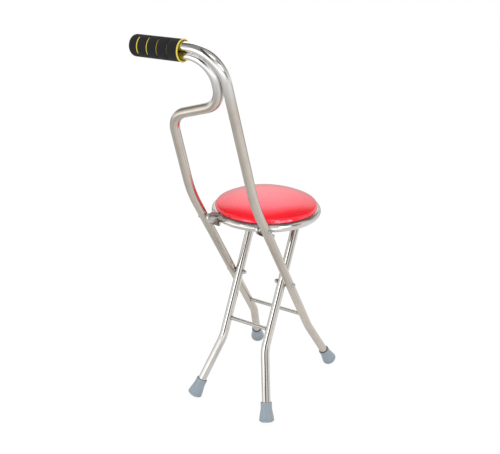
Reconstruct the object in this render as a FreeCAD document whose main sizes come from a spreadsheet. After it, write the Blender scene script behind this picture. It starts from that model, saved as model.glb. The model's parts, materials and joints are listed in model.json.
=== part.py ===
import FreeCAD, Part
import math
import os
import Sketcher

from FreeCAD import Placement, Rotation, Vector

# A walking cane that unfolds into a four-legged stool, in millimetres.
# +X runs along the seat hinge to the sitter's right of the handle, +Y from
# the cane towards the seat, +Z up, and the floor is the plane z = 0.
# Two long tubes carry the handle, two short legs cross them on a pivot, and
# the padded seat hangs on the long tubes and hooks over the short frame.

doc = FreeCAD.newDocument("CaneStool")

# Driving sizes, written once. Angles are in degrees, everything else in millimetres.
SIZES = {
    # Tubes and frame spacing
    "tube_diameter": 20.0,
    "tube_wall": 1.2,
    "long_half_width": 78.5,
    "frame_gap": 1.0,
    "frame_bar_diameter": 9.0,
    # Side view of the crossed frames, measured from the main pivot
    "pivot_setback": 52.32,
    "pivot_height": 295.0,
    "long_lean_angle": 33.6,
    "short_lean_angle": 26.6,
    "upper_lean_angle": 19.8,
    "hinge_rise": 211.0,
    "elbow_rise": 297.5,
    "elbow_bend_radius": 300.0,
    "long_knee_drop": 192.6,
    "short_knee_drop": 161.6,
    "knee_bend_radius": 100.0,
    "long_foot_lean_angle": 30.4,
    "long_foot_splay_angle": 13.8,
    "short_foot_lean_angle": 23.3,
    "short_foot_splay_angle": 16.9,
    "long_bar_drop": 138.5,
    "short_bar_drop": 114.0,
    # Handle, in the plane of the upper tubes, measured from the elbow
    "handle_rise": 342.0,
    "handle_half_width": 71.5,
    "handle_bend_radius": 76.0,
    "inner_bend_radius": 60.5,
    "nest_gap": 0.3,
    "squeezed_thickness": 13.0,
    "squeezed_width": 24.0,
    "jog_rise": 190.0,
    "jog_half_width": 74.5,
    "jog_step": 41.0,
    "jog_bend_radius": 51.0,
    # Foam grip
    "grip_reach": 120.0,
    "grip_length": 114.0,
    "grip_diameter": 41.0,
    "grip_bore_diameter": 29.6,
    "grip_skin": 1.6,
    "grip_end_wall": 5.0,
    "grip_end_round": 9.0,
    "grip_end_bevel": 2.6,
    "grip_mouth_flare": 1.5,
    "grip_lip_length": 2.4,
    "grip_lip_height": 0.8,
    "groove_width": 2.4,
    "groove_height": 33.0,
    "groove_pitch": 21.3,
    "groove_first": 18.7,
    "groove_lean_angle": 24.0,
    # Rubber feet, along the leg from the floor end
    "foot_length": 46.0,
    "foot_base_radius": 16.5,
    "foot_base_height": 8.0,
    "foot_sole_radius": 13.0,
    "foot_sole_bevel": 3.0,
    "foot_neck_radius": 12.3,
    "foot_neck_height": 31.0,
    "foot_floor": 8.0,
    "foot_fit": 0.1,
    "foot_disc_thickness": 2.0,
    "foot_flat_depth": 1.0,
    # Bolts, nuts and spacers
    "bolt_diameter": 6.0,
    "bolt_clearance": 0.05,
    "turn_gap": 0.3,
    "washer_gap": 0.05,
    "pivot_washer_diameter": 16.0,
    "hinge_head_diameter": 12.0,
    "pivot_head_diameter": 11.0,
    "head_height": 3.6,
    "head_rim_height": 1.3,
    "head_crown_diameter": 6.0,
    "nut_width": 10.0,
    "nut_thickness": 4.2,
    "nut_collar_diameter": 8.6,
    "nut_collar_height": 1.6,
    "bolt_end": 2.0,
    "hinge_spacer_diameter": 12.0,
    "hinge_spacer_length": 4.7,
    # Seat ring
    "ring_radius": 116.0,
    "ring_tube_diameter": 19.0,
    "ring_tube_wall": 1.2,
    "ring_setback": 21.6,
    "ring_drop": 11.3,
    # Hinge ears and stop pins
    "ear_thickness": 3.0,
    "ear_nose_radius": 12.0,
    "ear_heel_radius": 7.0,
    "ear_root_radius": 9.0,
    "stop_pin_diameter": 6.0,
    "stop_sleeve_wall": 1.0,
    "stop_below_hinge": 39.0,
    "stop_overhang": 2.0,
    "rivet_head_diameter": 7.6,
    "rivet_head_height": 2.0,
    # Seat rails and hooks
    "rail_spacing": 80.0,
    "rail_thickness": 3.0,
    "rail_height": 15.5,
    "rail_top_gap": 0.5,
    "flange_width": 15.0,
    "flange_thickness": 2.0,
    "flange_end_inset": 27.0,
    "hook_wall": 8.0,
    "hook_mouth_angle": 56.0,
    # Short frame top rod
    "rod_diameter": 10.0,
    "rod_rise": 168.7,
    "rod_gap": 0.3,
    "leg_tip_above_rod": 5.0,
    "plug_head_height": 2.5,
    "plug_rim_height": 1.0,
    "plug_crown_diameter": 16.0,
    "plug_shank_length": 8.0,
    "plug_fit": 0.1,
    # Cushion and board
    "seat_gap": 0.2,
    "board_inset": 10.0,
    "board_thickness": 8.0,
    "cover_thickness": 1.0,
    "hem_width": 18.0,
    "cushion_overhang": 1.0,
    "cushion_tuck": 2.6,
    "cushion_edge_inset": 1.0,
    "cushion_edge_height": 6.8,
    "cushion_shoulder_inset": 4.1,
    "cushion_shoulder_height": 9.6,
    "cushion_flank_inset": 22.0,
    "cushion_flank_height": 17.5,
    "cushion_slope_inset": 48.0,
    "cushion_slope_height": 26.2,
    "cushion_crown_inset": 85.0,
    "cushion_crown_height": 33.3,
    "cushion_height": 35.3,
    # Seat screws
    "screw_diameter": 4.0,
    "screw_length": 9.0,
    "screw_head_diameter": 8.0,
    "screw_head_height": 2.4,
    "screw_inset": 22.0,
    "screw_clearance": 0.3,
    # Cutting tools run this far past what they cut
    "overrun": 5.0,
}

sheet = doc.addObject("Spreadsheet::Sheet", "Sizes")
for row, (alias, number) in enumerate(SIZES.items(), start=1):
    sheet.set("A%d" % row, alias.replace("_", " "))
    sheet.set("B%d" % row, str(number))
    sheet.setAlias("B%d" % row, alias)
doc.recompute()

SIDES = {"right": 1, "left": -1}
ACROSS = Vector(1, 0, 0)
UPWARD = Vector(0, 0, 1)


def size(alias):
    """The number that the sheet holds under an alias."""
    return float(sheet.get(alias))


def total(words):
    """The value of a sum such as "half tube_diameter + nest_gap" of sheet aliases."""
    result, factor = 0.0, 1.0
    for word in words.split():
        if word == "-":
            factor = -1.0
        elif word == "half":
            factor /= 2
        elif word != "+":
            result += factor * size(word)
            factor = 1.0
    return result


def formula(words):
    """The same sum written as an expression on the sheet."""
    plain = {"+": "+", "-": "-", "half": "0.5 *"}
    return " ".join(plain.get(word, "Sizes." + word) for word in words.split())


def bind(item, properties):
    """Ties properties of an object to expressions on the sheet."""
    for name, words in properties.items():
        item.setExpression(name, words)


def lean_direction(degrees):
    """Unit vector in the side view, leaning from upright towards +Y."""
    angle = math.radians(degrees)
    return Vector(0, math.sin(angle), math.cos(angle))


# Geometry shared by several pieces, worked out from the sheet
tube_radius = size("tube_diameter") / 2
long_x = size("long_half_width")
short_x = long_x - size("tube_diameter") - size("frame_gap")
pivot = Vector(0, size("pivot_setback"), size("pivot_height"))
long_up = lean_direction(-size("long_lean_angle"))
short_up = lean_direction(size("short_lean_angle"))
upper_up = lean_direction(-size("upper_lean_angle"))
hinge = pivot + long_up * size("hinge_rise")
elbow = pivot + long_up * size("elbow_rise")
rod = pivot + short_up * size("rod_rise")
ring_y = hinge.y + size("ring_setback") + size("ring_radius")
ring_z = hinge.z - size("ring_drop")
ring_top = ring_z + size("ring_tube_diameter") / 2
seat_base = ring_top + size("seat_gap")
rail_x = size("rail_spacing") / 2


def leg_end(knee, lean, splay):
    """Where the foot of a leg meets the floor, and the direction back up the leg."""
    up = Vector(-math.tan(math.radians(splay)), -math.tan(math.radians(lean)), 1).normalize()
    tilt = math.acos(up.z)
    height = max(size("foot_sole_radius") * math.sin(tilt),
                 size("foot_base_radius") * math.sin(tilt) - size("foot_sole_bevel") * math.cos(tilt))
    height -= size("foot_flat_depth")
    return knee + up * ((height - knee.z) / up.z), up


long_knee = pivot - long_up * size("long_knee_drop") + ACROSS * long_x
short_knee = pivot - short_up * size("short_knee_drop") + ACROSS * short_x
long_end, long_foot_up = leg_end(long_knee, size("long_foot_lean_angle"), size("long_foot_splay_angle"))
short_end, short_foot_up = leg_end(
    short_knee, -size("short_foot_lean_angle"), size("short_foot_splay_angle"))
tube_stop = size("foot_floor") + size("foot_disc_thickness")


def turned_to(direction):
    """Rotation that takes +Z to a direction."""
    return Rotation(UPWARD, direction)


def corner_arc(before, corner, after, radius):
    """The start, middle and end of the tangent arc that rounds a corner."""
    back = (before - corner).normalize()
    onward = (after - corner).normalize()
    half_turn = (math.pi - back.getAngle(onward)) / 2
    reach = radius * math.tan(half_turn)
    inward = (back + onward).normalize() * (radius / math.cos(half_turn) - radius)
    return corner + back * reach, corner + inward, corner + onward * reach


def bent_path(name, points, radii):
    """A centre line of straight runs through points, joined by tangent arcs of the given radii."""
    edges, start = [], points[0]
    for before, corner, after, radius in zip(points, points[1:], points[2:], radii):
        leave, middle, arrive = corner_arc(before, corner, after, radius)
        edges.append(Part.LineSegment(start, leave).toShape())
        edges.append(Part.Arc(leave, middle, arrive).toShape())
        start = arrive
    edges.append(Part.LineSegment(start, points[-1]).toShape())
    path = doc.addObject("Part::Feature", name)
    path.Shape = Part.Wire(edges)
    return path


def round_section(name, radius_words, centre, square, outward):
    """A circle square to a direction, its seam on the outward side."""
    circle = doc.addObject("Part::Circle", name)
    bind(circle, {"Radius": radius_words})
    circle.Placement = Placement(centre, Rotation(outward, square.cross(outward), square, "ZXY"))
    return circle


def oval_section(name, half_words, centre, square, outward):
    """An ellipse square to a direction, its long axis outward."""
    ellipse = doc.addObject("Part::Ellipse", name)
    bind(ellipse, dict(zip(("MajorRadius", "MinorRadius"), half_words)))
    ellipse.Placement = Placement(centre, Rotation(outward, square.cross(outward), square, "ZXY"))
    return ellipse


def swept(name, sections, path):
    """A solid from one or more sections along a path object."""
    sweep = doc.addObject("Part::Sweep", name)
    sweep.Sections = sections
    sweep.Spine = (path, ["Edge%d" % (number + 1) for number in range(len(path.Shape.Edges))])
    sweep.Solid = True
    return sweep


def swept_rod(name, path, radius_words):
    """A round solid of an expression's radius along a path object."""
    first = path.Shape.Edges[0]
    ahead = first.tangentAt(first.FirstParameter)
    side = ahead.cross(ACROSS.cross(ahead)).normalize()
    circle = round_section(name + "_section", radius_words, first.Vertexes[0].Point, ahead, side)
    return swept(name, [circle], path)


def cylinder(name, radius_words, length_words, base, direction):
    """A cylinder from a base point along a direction."""
    item = doc.addObject("Part::Cylinder", name)
    bind(item, {"Radius": radius_words, "Height": length_words})
    item.Placement = Placement(base, turned_to(direction))
    return item


def cross_pin(name, radius_words, centre):
    """A cutting cylinder along X, through one side's tubes at a point of the side view."""
    start = Vector(-long_x - tube_radius - size("overrun"), centre.y, centre.z)
    length = "2 * Sizes.long_half_width + Sizes.tube_diameter + 2 * Sizes.overrun"
    return cylinder(name, radius_words, length, start, ACROSS)


def box(name, lengths, base, rotation=Rotation()):
    """A box of three expressions' lengths with its corner at a base point."""
    item = doc.addObject("Part::Box", name)
    bind(item, dict(zip(("Length", "Width", "Height"), lengths)))
    item.Placement = Placement(base, rotation)
    return item


def bundle(name, items):
    """Several separate solids as one object."""
    item = doc.addObject("Part::Compound", name)
    item.Links = items
    return item


def cut(name, base, tools):
    """A solid less one or more others."""
    item = doc.addObject("Part::Cut", name)
    item.Base = base
    item.Tool = tools[0] if len(tools) == 1 else bundle(name + "_tools", tools)
    return item


def fuse(name, items):
    """Several touching solids as one."""
    item = doc.addObject("Part::MultiFuse", name)
    item.Shapes = items
    return item


def mirrored(name, source):
    """The same piece on the other side of the centre plane."""
    item = doc.addObject("Part::Mirroring", name)
    item.Source = source
    item.Normal = ACROSS
    return item


def pair(name, source):
    """A piece and its mirror image as two separate solids in one node."""
    return bundle(name, [source, mirrored(name + "_mirrored", source)])


def origin_plane(body, role):
    """One of a body's own origin planes."""
    return next(item for item in body.Origin.OriginFeatures if item.Role == role)


def pin_point(sketch, line, column, words):
    """Holds one coordinate of a line's first point to a sum of sheet aliases."""
    kind, axis = (("DistanceX", -2), ("DistanceY", -1))[column]
    if words == "0":
        sketch.addConstraint(Sketcher.Constraint("PointOnObject", line, 1, axis))
        return
    number = sketch.addConstraint(Sketcher.Constraint(kind, -1, 1, line, 1, total(words)))
    sketch.setExpression("Constraints[%d]" % number, formula(words))


def outline_sketch(body, name, role, corners):
    """A closed outline of straight sides whose corners are sums of sheet aliases."""
    sketch = body.newObject("Sketcher::SketchObject", name)
    sketch.AttachmentSupport = [(origin_plane(body, role), "")]
    sketch.MapMode = "FlatFace"
    points = [Vector(*(0 if words == "0" else total(words) for words in corner)) for corner in corners]
    count = len(points)
    for number in range(count):
        sketch.addGeometry(Part.LineSegment(points[number], points[(number + 1) % count]), False)
    for number in range(count):
        sketch.addConstraint(Sketcher.Constraint("Coincident", number, 2, (number + 1) % count, 1))
    for number, corner in enumerate(corners):
        for column, words in enumerate(corner):
            pin_point(sketch, number, column, words)
    return sketch


def turned_body(name, corners):
    """A body turned about its own Z axis from an outline of radius and height sums."""
    body = doc.addObject("PartDesign::Body", name)
    sketch = outline_sketch(body, name + "_outline", "XZ_Plane", corners)
    turning = body.newObject("PartDesign::Revolution", name + "_turning")
    turning.Profile = sketch
    turning.ReferenceAxis = (sketch, ["V_Axis"])
    turning.Refine = False
    doc.recompute()
    return body


# Long frame: two tubes from the rear feet, past the pivot and the seat hinge, to the handle
nested = size("tube_diameter") + size("nest_gap")
squeezed_pitch = size("squeezed_thickness") + size("nest_gap")
tip_x = -size("grip_reach") + size("grip_end_wall")
plane_back = upper_up.cross(ACROSS)


def handle_point(across, rise):
    """A point of the upper tubes' plane, across from the centre and up from the elbow."""
    return elbow + upper_up * rise + ACROSS * across


def bent_tube(name, points, radii, bores):
    """A hollow tube along a bent centre line, with its outer solid and its bolt holes."""
    path = bent_path(name + "_centre_line", points, radii)
    outer = swept_rod(name + "_outer", path, "0.5 * Sizes.tube_diameter")
    inner = swept_rod(name + "_bore", path, "0.5 * Sizes.tube_diameter - Sizes.tube_wall")
    return cut(name, cut(name + "_hollow", outer, [inner]), bores), outer


def cane_tube(name, points, radii, bores):
    """A long tube, round up to its last bend and squeezed oval from there to its tip in the grip."""
    start, middle, end = corner_arc(points[-3], points[-2], points[-1], radii[-1])
    way_up, way_out = (points[-2] - points[-3]).normalize(), (points[-1] - points[-2]).normalize()
    lower_path = bent_path(name + "_centre_line", points[:-2] + [start], radii[:-1])
    bend_path = doc.addObject("Part::Feature", name + "_bend_line")
    bend_path.Shape = Part.Wire([Part.Arc(start, middle, end).toShape()])
    tip_path = bent_path(name + "_tip_line", [end, points[-1]], [])
    forms = []
    for word, wall in (("outer", ""), ("bore", " - Sizes.tube_wall")):
        label = name + "_" + word
        rounded = "0.5 * Sizes.tube_diameter" + wall
        halves = ("0.5 * Sizes.squeezed_width" + wall, "0.5 * Sizes.squeezed_thickness" + wall)
        bend = swept(label + "_bend", [
            round_section(label + "_bend_start", rounded, start, way_up, plane_back),
            oval_section(label + "_bend_end", halves, end, way_out, plane_back)], bend_path)
        tip_section = oval_section(label + "_tip_section", halves, end, way_out, plane_back)
        tip = swept(label + "_tip", [tip_section], tip_path)
        forms.append(fuse(label, [swept_rod(label + "_lower", lower_path, rounded), bend, tip]))
    return cut(name, cut(name + "_hollow", forms[0], [forms[1]]), bores), forms[0]


BOLT_HOLE = "0.5 * Sizes.bolt_diameter + Sizes.bolt_clearance"
pivot_bore = cross_pin("pivot_bore", BOLT_HOLE, pivot)
hinge_bore = cross_pin("hinge_bore", BOLT_HOLE, hinge)


def to_side(point, side):
    """A point of the right side, or its mirror image on the left."""
    return Vector(point.x * SIDES[side], point.y, point.z)


long_start = long_end + long_foot_up * tube_stop
right_points = [
    long_start,
    long_knee,
    elbow + ACROSS * long_x,
    handle_point(size("handle_half_width"), size("handle_rise")),
    handle_point(tip_x, size("handle_rise")),
]
right_radii = [size("knee_bend_radius"), size("elbow_bend_radius"), size("handle_bend_radius")]
jog_far_x = size("handle_half_width") - nested
left_points = [
    to_side(long_start, "left"),
    to_side(long_knee, "left"),
    elbow - ACROSS * long_x,
    handle_point(-size("jog_half_width"), size("jog_rise")),
    handle_point(jog_far_x, size("jog_rise") + size("jog_step")),
    handle_point(jog_far_x, size("handle_rise") - squeezed_pitch),
    handle_point(tip_x, size("handle_rise") - squeezed_pitch),
]
left_radii = [
    size("knee_bend_radius"),
    size("elbow_bend_radius"),
    size("jog_bend_radius"),
    size("jog_bend_radius"),
    size("inner_bend_radius"),
]
right_cane_tube, right_cane_outer = cane_tube(
    "right_cane_tube", right_points, right_radii, [pivot_bore, hinge_bore])
left_cane_tube, left_cane_outer = cane_tube(
    "left_cane_tube", left_points, left_radii, [pivot_bore, hinge_bore])


def frame_bar(name, radius_words, half_width_words, centre, half_width, outers):
    """A round bar across a frame, its ends fitted to the tubes."""
    bar = cylinder(name + "_stock", radius_words, "2 * (" + half_width_words + ")",
                   centre - ACROSS * half_width, ACROSS)
    return cut(name, bar, outers)


SHORT_HALF_WIDTH = "Sizes.long_half_width - Sizes.tube_diameter - Sizes.frame_gap"
long_frame_bar = frame_bar(
    "long_frame_bar", "0.5 * Sizes.frame_bar_diameter", "Sizes.long_half_width",
    pivot - long_up * size("long_bar_drop"), long_x, [right_cane_outer, left_cane_outer])

# Short frame: two legs inside the long tubes, a bar low down and a rod that the seat hooks over
leg_tip = pivot + short_up * (size("rod_rise") + size("leg_tip_above_rod"))
short_points = [short_end + short_foot_up * tube_stop, short_knee, leg_tip + ACROSS * short_x]
right_short_leg, right_short_outer = bent_tube(
    "right_short_leg", short_points, [size("knee_bend_radius")], [pivot_bore])
left_short_leg = mirrored("left_short_leg", right_short_leg)
left_short_outer = mirrored("left_short_leg_outer", right_short_outer)
short_outers = [right_short_outer, left_short_outer]
short_frame_bar = frame_bar(
    "short_frame_bar", "0.5 * Sizes.frame_bar_diameter", SHORT_HALF_WIDTH,
    pivot - short_up * size("short_bar_drop"), short_x, short_outers)
seat_rod = frame_bar("seat_rod", "0.5 * Sizes.rod_diameter", SHORT_HALF_WIDTH, rod, short_x, short_outers)

PLUG_SHANK = "half tube_diameter - tube_wall - plug_fit"
plug = turned_body("leg_plug", [
    ("0", "0"),
    (PLUG_SHANK, "0"),
    (PLUG_SHANK, "plug_shank_length"),
    ("half tube_diameter", "plug_shank_length"),
    ("half tube_diameter", "plug_shank_length + plug_rim_height"),
    ("half plug_crown_diameter", "plug_shank_length + plug_head_height"),
    ("0", "plug_shank_length + plug_head_height"),
])
plug.Placement = Placement(
    leg_tip + ACROSS * short_x - short_up * size("plug_shank_length"), turned_to(short_up))
leg_plugs = pair("leg_plugs", plug)

# Rubber feet, each over a steel disc that the tube stands on
FOOT_BORE = "half tube_diameter + foot_fit"
FOOT_OUTLINE = [
    ("0", "0"),
    ("foot_sole_radius", "0"),
    ("foot_base_radius", "foot_sole_bevel"),
    ("foot_base_radius", "foot_base_height"),
    ("foot_neck_radius", "foot_neck_height"),
    ("foot_neck_radius", "foot_length"),
    (FOOT_BORE, "foot_length"),
    (FOOT_BORE, "foot_floor"),
    ("0", "foot_floor"),
]


def leg_foot(name, end, up):
    """Rubber feet on a pair of leg ends, flat on the floor, and the steel discs inside them."""
    turned = turned_body(name + "_turned", FOOT_OUTLINE)
    turned.Placement = Placement(end, turned_to(up))
    reach = size("foot_base_radius") + size("overrun")
    side = "2 * Sizes.foot_base_radius + 2 * Sizes.overrun"
    floor = box(name + "_floor", (side, side, "Sizes.foot_flat_depth + Sizes.overrun"),
                Vector(end.x - reach, end.y - reach, -size("foot_flat_depth") - size("overrun")))
    disc = cylinder(name + "_disc", "0.5 * Sizes.tube_diameter", "Sizes.foot_disc_thickness",
                    end + up * size("foot_floor"), up)
    return pair(name + "_feet", cut(name + "_foot", turned, [floor])), pair(name + "_foot_discs", disc)


long_feet, long_foot_discs = leg_foot("long", long_end, long_foot_up)
short_feet, short_foot_discs = leg_foot("short", short_end, short_foot_up)

# Foam grip: a dark skin over a light core, both round the two tube ends
groove_up = lean_direction(size("groove_lean_angle"))
grip_turn = Rotation(groove_up, ACROSS.cross(groove_up), ACROSS, "ZXY")
grip_left = handle_point(-size("grip_reach"), size("handle_rise") - squeezed_pitch / 2)
SKIN_BORE = "half grip_diameter - grip_skin"
LIP_BASE = "grip_length - grip_lip_length"
LIP_RIM = "half grip_diameter + grip_lip_height"
BETWEEN_GROOVES = ["groove_first" + number * " + groove_pitch" + " + half groove_pitch" for number in range(3)]
skin_form = turned_body("grip_skin_form", [
    ("0", "0"),
    ("half grip_diameter - grip_end_round", "0"),
    ("half grip_diameter - grip_end_bevel", "grip_end_bevel"),
    ("half grip_diameter", "grip_end_round"),
    *[("half grip_diameter", along) for along in BETWEEN_GROOVES],
    ("half grip_diameter", LIP_BASE),
    (SKIN_BORE, LIP_BASE),
    *[(SKIN_BORE, along) for along in reversed(BETWEEN_GROOVES)],
    (SKIN_BORE, "grip_end_round"),
    (SKIN_BORE + " - grip_end_bevel", "grip_end_bevel + grip_skin"),
    ("half grip_diameter - grip_end_round", "grip_skin"),
    ("0", "grip_skin"),
])
grip_core = turned_body("grip_core", [
    ("0", "grip_skin"),
    ("half grip_diameter - grip_end_round", "grip_skin"),
    (SKIN_BORE + " - grip_end_bevel", "grip_end_bevel + grip_skin"),
    (SKIN_BORE, "grip_end_round"),
    (SKIN_BORE, LIP_BASE),
    (LIP_RIM, LIP_BASE),
    (LIP_RIM, "grip_length"),
    ("half grip_bore_diameter + grip_mouth_flare", "grip_length"),
    ("half grip_bore_diameter", "grip_length - grip_mouth_flare"),
    ("half grip_bore_diameter", "grip_end_wall"),
    ("0", "grip_end_wall"),
])
for form in (skin_form, grip_core):
    form.Placement = Placement(grip_left, grip_turn)
grooves = []
for number in range(4):
    centre = grip_left + ACROSS * (size("groove_first") + number * size("groove_pitch"))
    corner = (centre - ACROSS * (size("groove_width") / 2) - groove_up * (size("groove_height") / 2)
              - ACROSS.cross(groove_up) * (size("grip_diameter") / 2 + size("overrun")))
    grooves.append(box(
        "grip_groove_%d" % (number + 1),
        ("Sizes.groove_height", "Sizes.grip_diameter + 2 * Sizes.overrun", "Sizes.groove_width"),
        corner, grip_turn))
foam_grip = cut("foam_grip", skin_form, grooves)
foam_grip.Refine = False


def bolt(name, head_words, length_words):
    """A round-headed bolt along its own Z axis, its shank's end at the origin."""
    shank = "half bolt_diameter"
    top = length_words + " + head_height"
    item = turned_body(name, [
        ("0", "0"), (shank, "0"), (shank, length_words), (head_words, length_words),
        (head_words, length_words + " + head_rim_height"), ("half head_crown_diameter", top), ("0", top)])
    item.Placement = Placement(Vector(), turned_to(ACROSS))
    return item


def lock_nut(name, face_x, centre):
    """A hexagon nut with a round collar, its face at a place along X, pointing inward."""
    hexagon = doc.addObject("Part::Prism", name + "_hexagon")
    hexagon.Polygon = 6
    bind(hexagon, {"Circumradius": "0.5 * Sizes.nut_width / cos(30 deg)", "Height": "Sizes.nut_thickness"})
    face = Vector(face_x, centre.y, centre.z)
    hexagon.Placement = Placement(face, turned_to(-ACROSS))
    collar = cylinder(name + "_collar", "0.5 * Sizes.nut_collar_diameter",
                      "Sizes.nut_thickness + Sizes.nut_collar_height", face, -ACROSS)
    hole = cylinder(name + "_hole", BOLT_HOLE, "2 * Sizes.nut_thickness + 2 * Sizes.nut_collar_height",
                    face + ACROSS * size("nut_thickness"), -ACROSS)
    return cut(name, fuse(name + "_body", [hexagon, collar]), [hole])


def ring_spacer(name, radius_words, length_words, start_x, centre):
    """A round spacer on a bolt, from a place along X outward."""
    start = Vector(start_x, centre.y, centre.z)
    stock = cylinder(name + "_stock", radius_words, length_words, start, ACROSS)
    hole = cylinder(name + "_hole", BOLT_HOLE, length_words + " + 2 * Sizes.overrun",
                    start - ACROSS * size("overrun"), ACROSS)
    return cut(name, stock, [hole])


# Main pivot: bolt through a long and a short tube, washer between, nut inside
NUT_STACK = " + nut_thickness + nut_collar_height + bolt_end"
pivot_length = "tube_diameter + frame_gap + tube_diameter + turn_gap" + NUT_STACK
pivot_bolt = bolt("pivot_bolt", "half pivot_head_diameter", pivot_length)
pivot_bolt.Placement.Base = pivot + ACROSS * (long_x + tube_radius - total(pivot_length))
pivot_bolts = pair("pivot_bolts", pivot_bolt)
pivot_washers = pair("pivot_washers", ring_spacer(
    "pivot_washer", "0.5 * Sizes.pivot_washer_diameter", "Sizes.frame_gap - 2 * Sizes.washer_gap",
    short_x + tube_radius + size("washer_gap"), pivot))
pivot_nuts = pair("pivot_nuts", lock_nut("pivot_nut", short_x - tube_radius - size("turn_gap"), pivot))

# Seat hinge: bolt through a long tube, spacer and ear, nut inside
hinge_length = "tube_diameter + hinge_spacer_length + turn_gap + ear_thickness + turn_gap" + NUT_STACK
hinge_bolt = bolt("hinge_bolt", "half hinge_head_diameter", hinge_length)
hinge_bolt.Placement.Base = hinge + ACROSS * (long_x + tube_radius - total(hinge_length))
hinge_bolts = pair("hinge_bolts", hinge_bolt)
spacer_x = long_x - tube_radius - size("hinge_spacer_length")
ear_outer_x = spacer_x - size("turn_gap")
ear_inner_x = ear_outer_x - size("ear_thickness")
hinge_spacers = pair("hinge_spacers", ring_spacer(
    "hinge_spacer", "0.5 * Sizes.hinge_spacer_diameter", "Sizes.hinge_spacer_length", spacer_x, hinge))
hinge_nuts = pair("hinge_nuts", lock_nut("hinge_nut", ear_inner_x - size("turn_gap"), hinge))

# Seat ring
ring_centre = Vector(0, ring_y, ring_z)


def torus(name, radius_words):
    """A ring of round section about the seat's centre."""
    item = doc.addObject("Part::Torus", name)
    bind(item, {"Radius1": "Sizes.ring_radius", "Radius2": radius_words})
    item.Placement = Placement(ring_centre, Rotation())
    return item


def faceted_ring(name, radius_words, sides):
    """The same ring with a many-sided section, which meshes with fewer faces."""
    section = doc.addObject("Part::RegularPolygon", name + "_section")
    section.Polygon = sides
    bind(section, {"Circumradius": radius_words})
    section.Placement = Placement(ring_centre + ACROSS * size("ring_radius"),
                                  Rotation(UPWARD, Vector(0, 1, 0)))
    turning = doc.addObject("Part::Revolution", name)
    turning.Source = section
    turning.Base = ring_centre
    turning.Axis = UPWARD
    turning.Angle = 360
    turning.Solid = True
    return turning


RING_BORE = "0.5 * Sizes.ring_tube_diameter - Sizes.ring_tube_wall"
ring_outer = torus("seat_ring_outer", "0.5 * Sizes.ring_tube_diameter")
seat_ring = cut("seat_ring", faceted_ring("seat_ring_tube", "0.5 * Sizes.ring_tube_diameter", 20),
                [faceted_ring("seat_ring_bore", RING_BORE, 10)])

# Hinge ears: plates round the hinge bolt, the stop pin and the ring
stop_radius = size("stop_pin_diameter") / 2 + size("stop_sleeve_wall")
tube_back = Vector(0, long_up.z, -long_up.y)
stop = (hinge - long_up * size("stop_below_hinge")
        + tube_back * (tube_radius + stop_radius + size("turn_gap")))
ring_chord = math.sqrt(size("ring_radius") ** 2 - ear_inner_x ** 2)
ear_root = Vector(0, ring_y - ring_chord, ring_z)


def rounded_plate(centres, radii, x, thickness):
    """A plate square to X whose outline runs tangent round circles, anticlockwise from +X."""
    count = len(centres)
    tangents = []
    for number in range(count):
        after = (number + 1) % count
        gap = centres[after] - centres[number]
        slope = math.asin((radii[number] - radii[after]) / gap.Length)
        ahead = gap.normalize()
        outward = Vector(0, ahead.z, -ahead.y) * math.cos(slope) + ahead * math.sin(slope)
        tangents.append((centres[number] + outward * radii[number],
                         centres[after] + outward * radii[after], outward))
    edges = []
    for number in range(count):
        after = (number + 1) % count
        leave, arrive, outward = tangents[number]
        onward = tangents[after]
        edges.append(Part.LineSegment(leave, arrive).toShape())
        corner = centres[after] + (outward + onward[2]).normalize() * radii[after]
        edges.append(Part.Arc(arrive, corner, onward[0]).toShape())
    plate = Part.Face(Part.Wire(edges)).extrude(ACROSS * thickness)
    plate.translate(ACROSS * x)
    return plate


ear_stock = doc.addObject("Part::Feature", "hinge_ear_stock")
ear_stock.Shape = rounded_plate(
    [hinge, stop, ear_root],
    [size("ear_nose_radius"), size("ear_heel_radius"), size("ear_root_radius")],
    ear_inner_x, size("ear_thickness"))
stop_bore = cross_pin("stop_bore", "0.5 * Sizes.stop_pin_diameter", stop)
hinge_ears = pair("hinge_ears", cut("hinge_ear", ear_stock, [ring_outer, hinge_bore, stop_bore]))

# Stop pins: riveted in the ears, they rest behind the long tubes when the seat is down
STOP_LENGTH = "ear_thickness + turn_gap + hinge_spacer_length + half tube_diameter + stop_overhang"
stop_pin = turned_body("stop_pin", [
    ("0", "0"),
    ("half rivet_head_diameter", "0"),
    ("half rivet_head_diameter", "rivet_head_height"),
    ("half stop_pin_diameter", "rivet_head_height"),
    ("half stop_pin_diameter", "rivet_head_height + " + STOP_LENGTH),
    ("0", "rivet_head_height + " + STOP_LENGTH),
])
stop_pin.Placement = Placement(
    stop + ACROSS * (ear_inner_x - size("rivet_head_height")), turned_to(ACROSS))
stop_pins = pair("stop_pins", stop_pin)
SLEEVE_LENGTH = ("Sizes.turn_gap + Sizes.hinge_spacer_length"
                 " + 0.5 * Sizes.tube_diameter + Sizes.stop_overhang")
sleeve_stock = cylinder("stop_sleeve_stock", "0.5 * Sizes.stop_pin_diameter + Sizes.stop_sleeve_wall",
                        SLEEVE_LENGTH, stop + ACROSS * ear_outer_x, ACROSS)
stop_sleeves = pair("stop_sleeves", cut("stop_sleeve", sleeve_stock, [stop_bore]))

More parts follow.
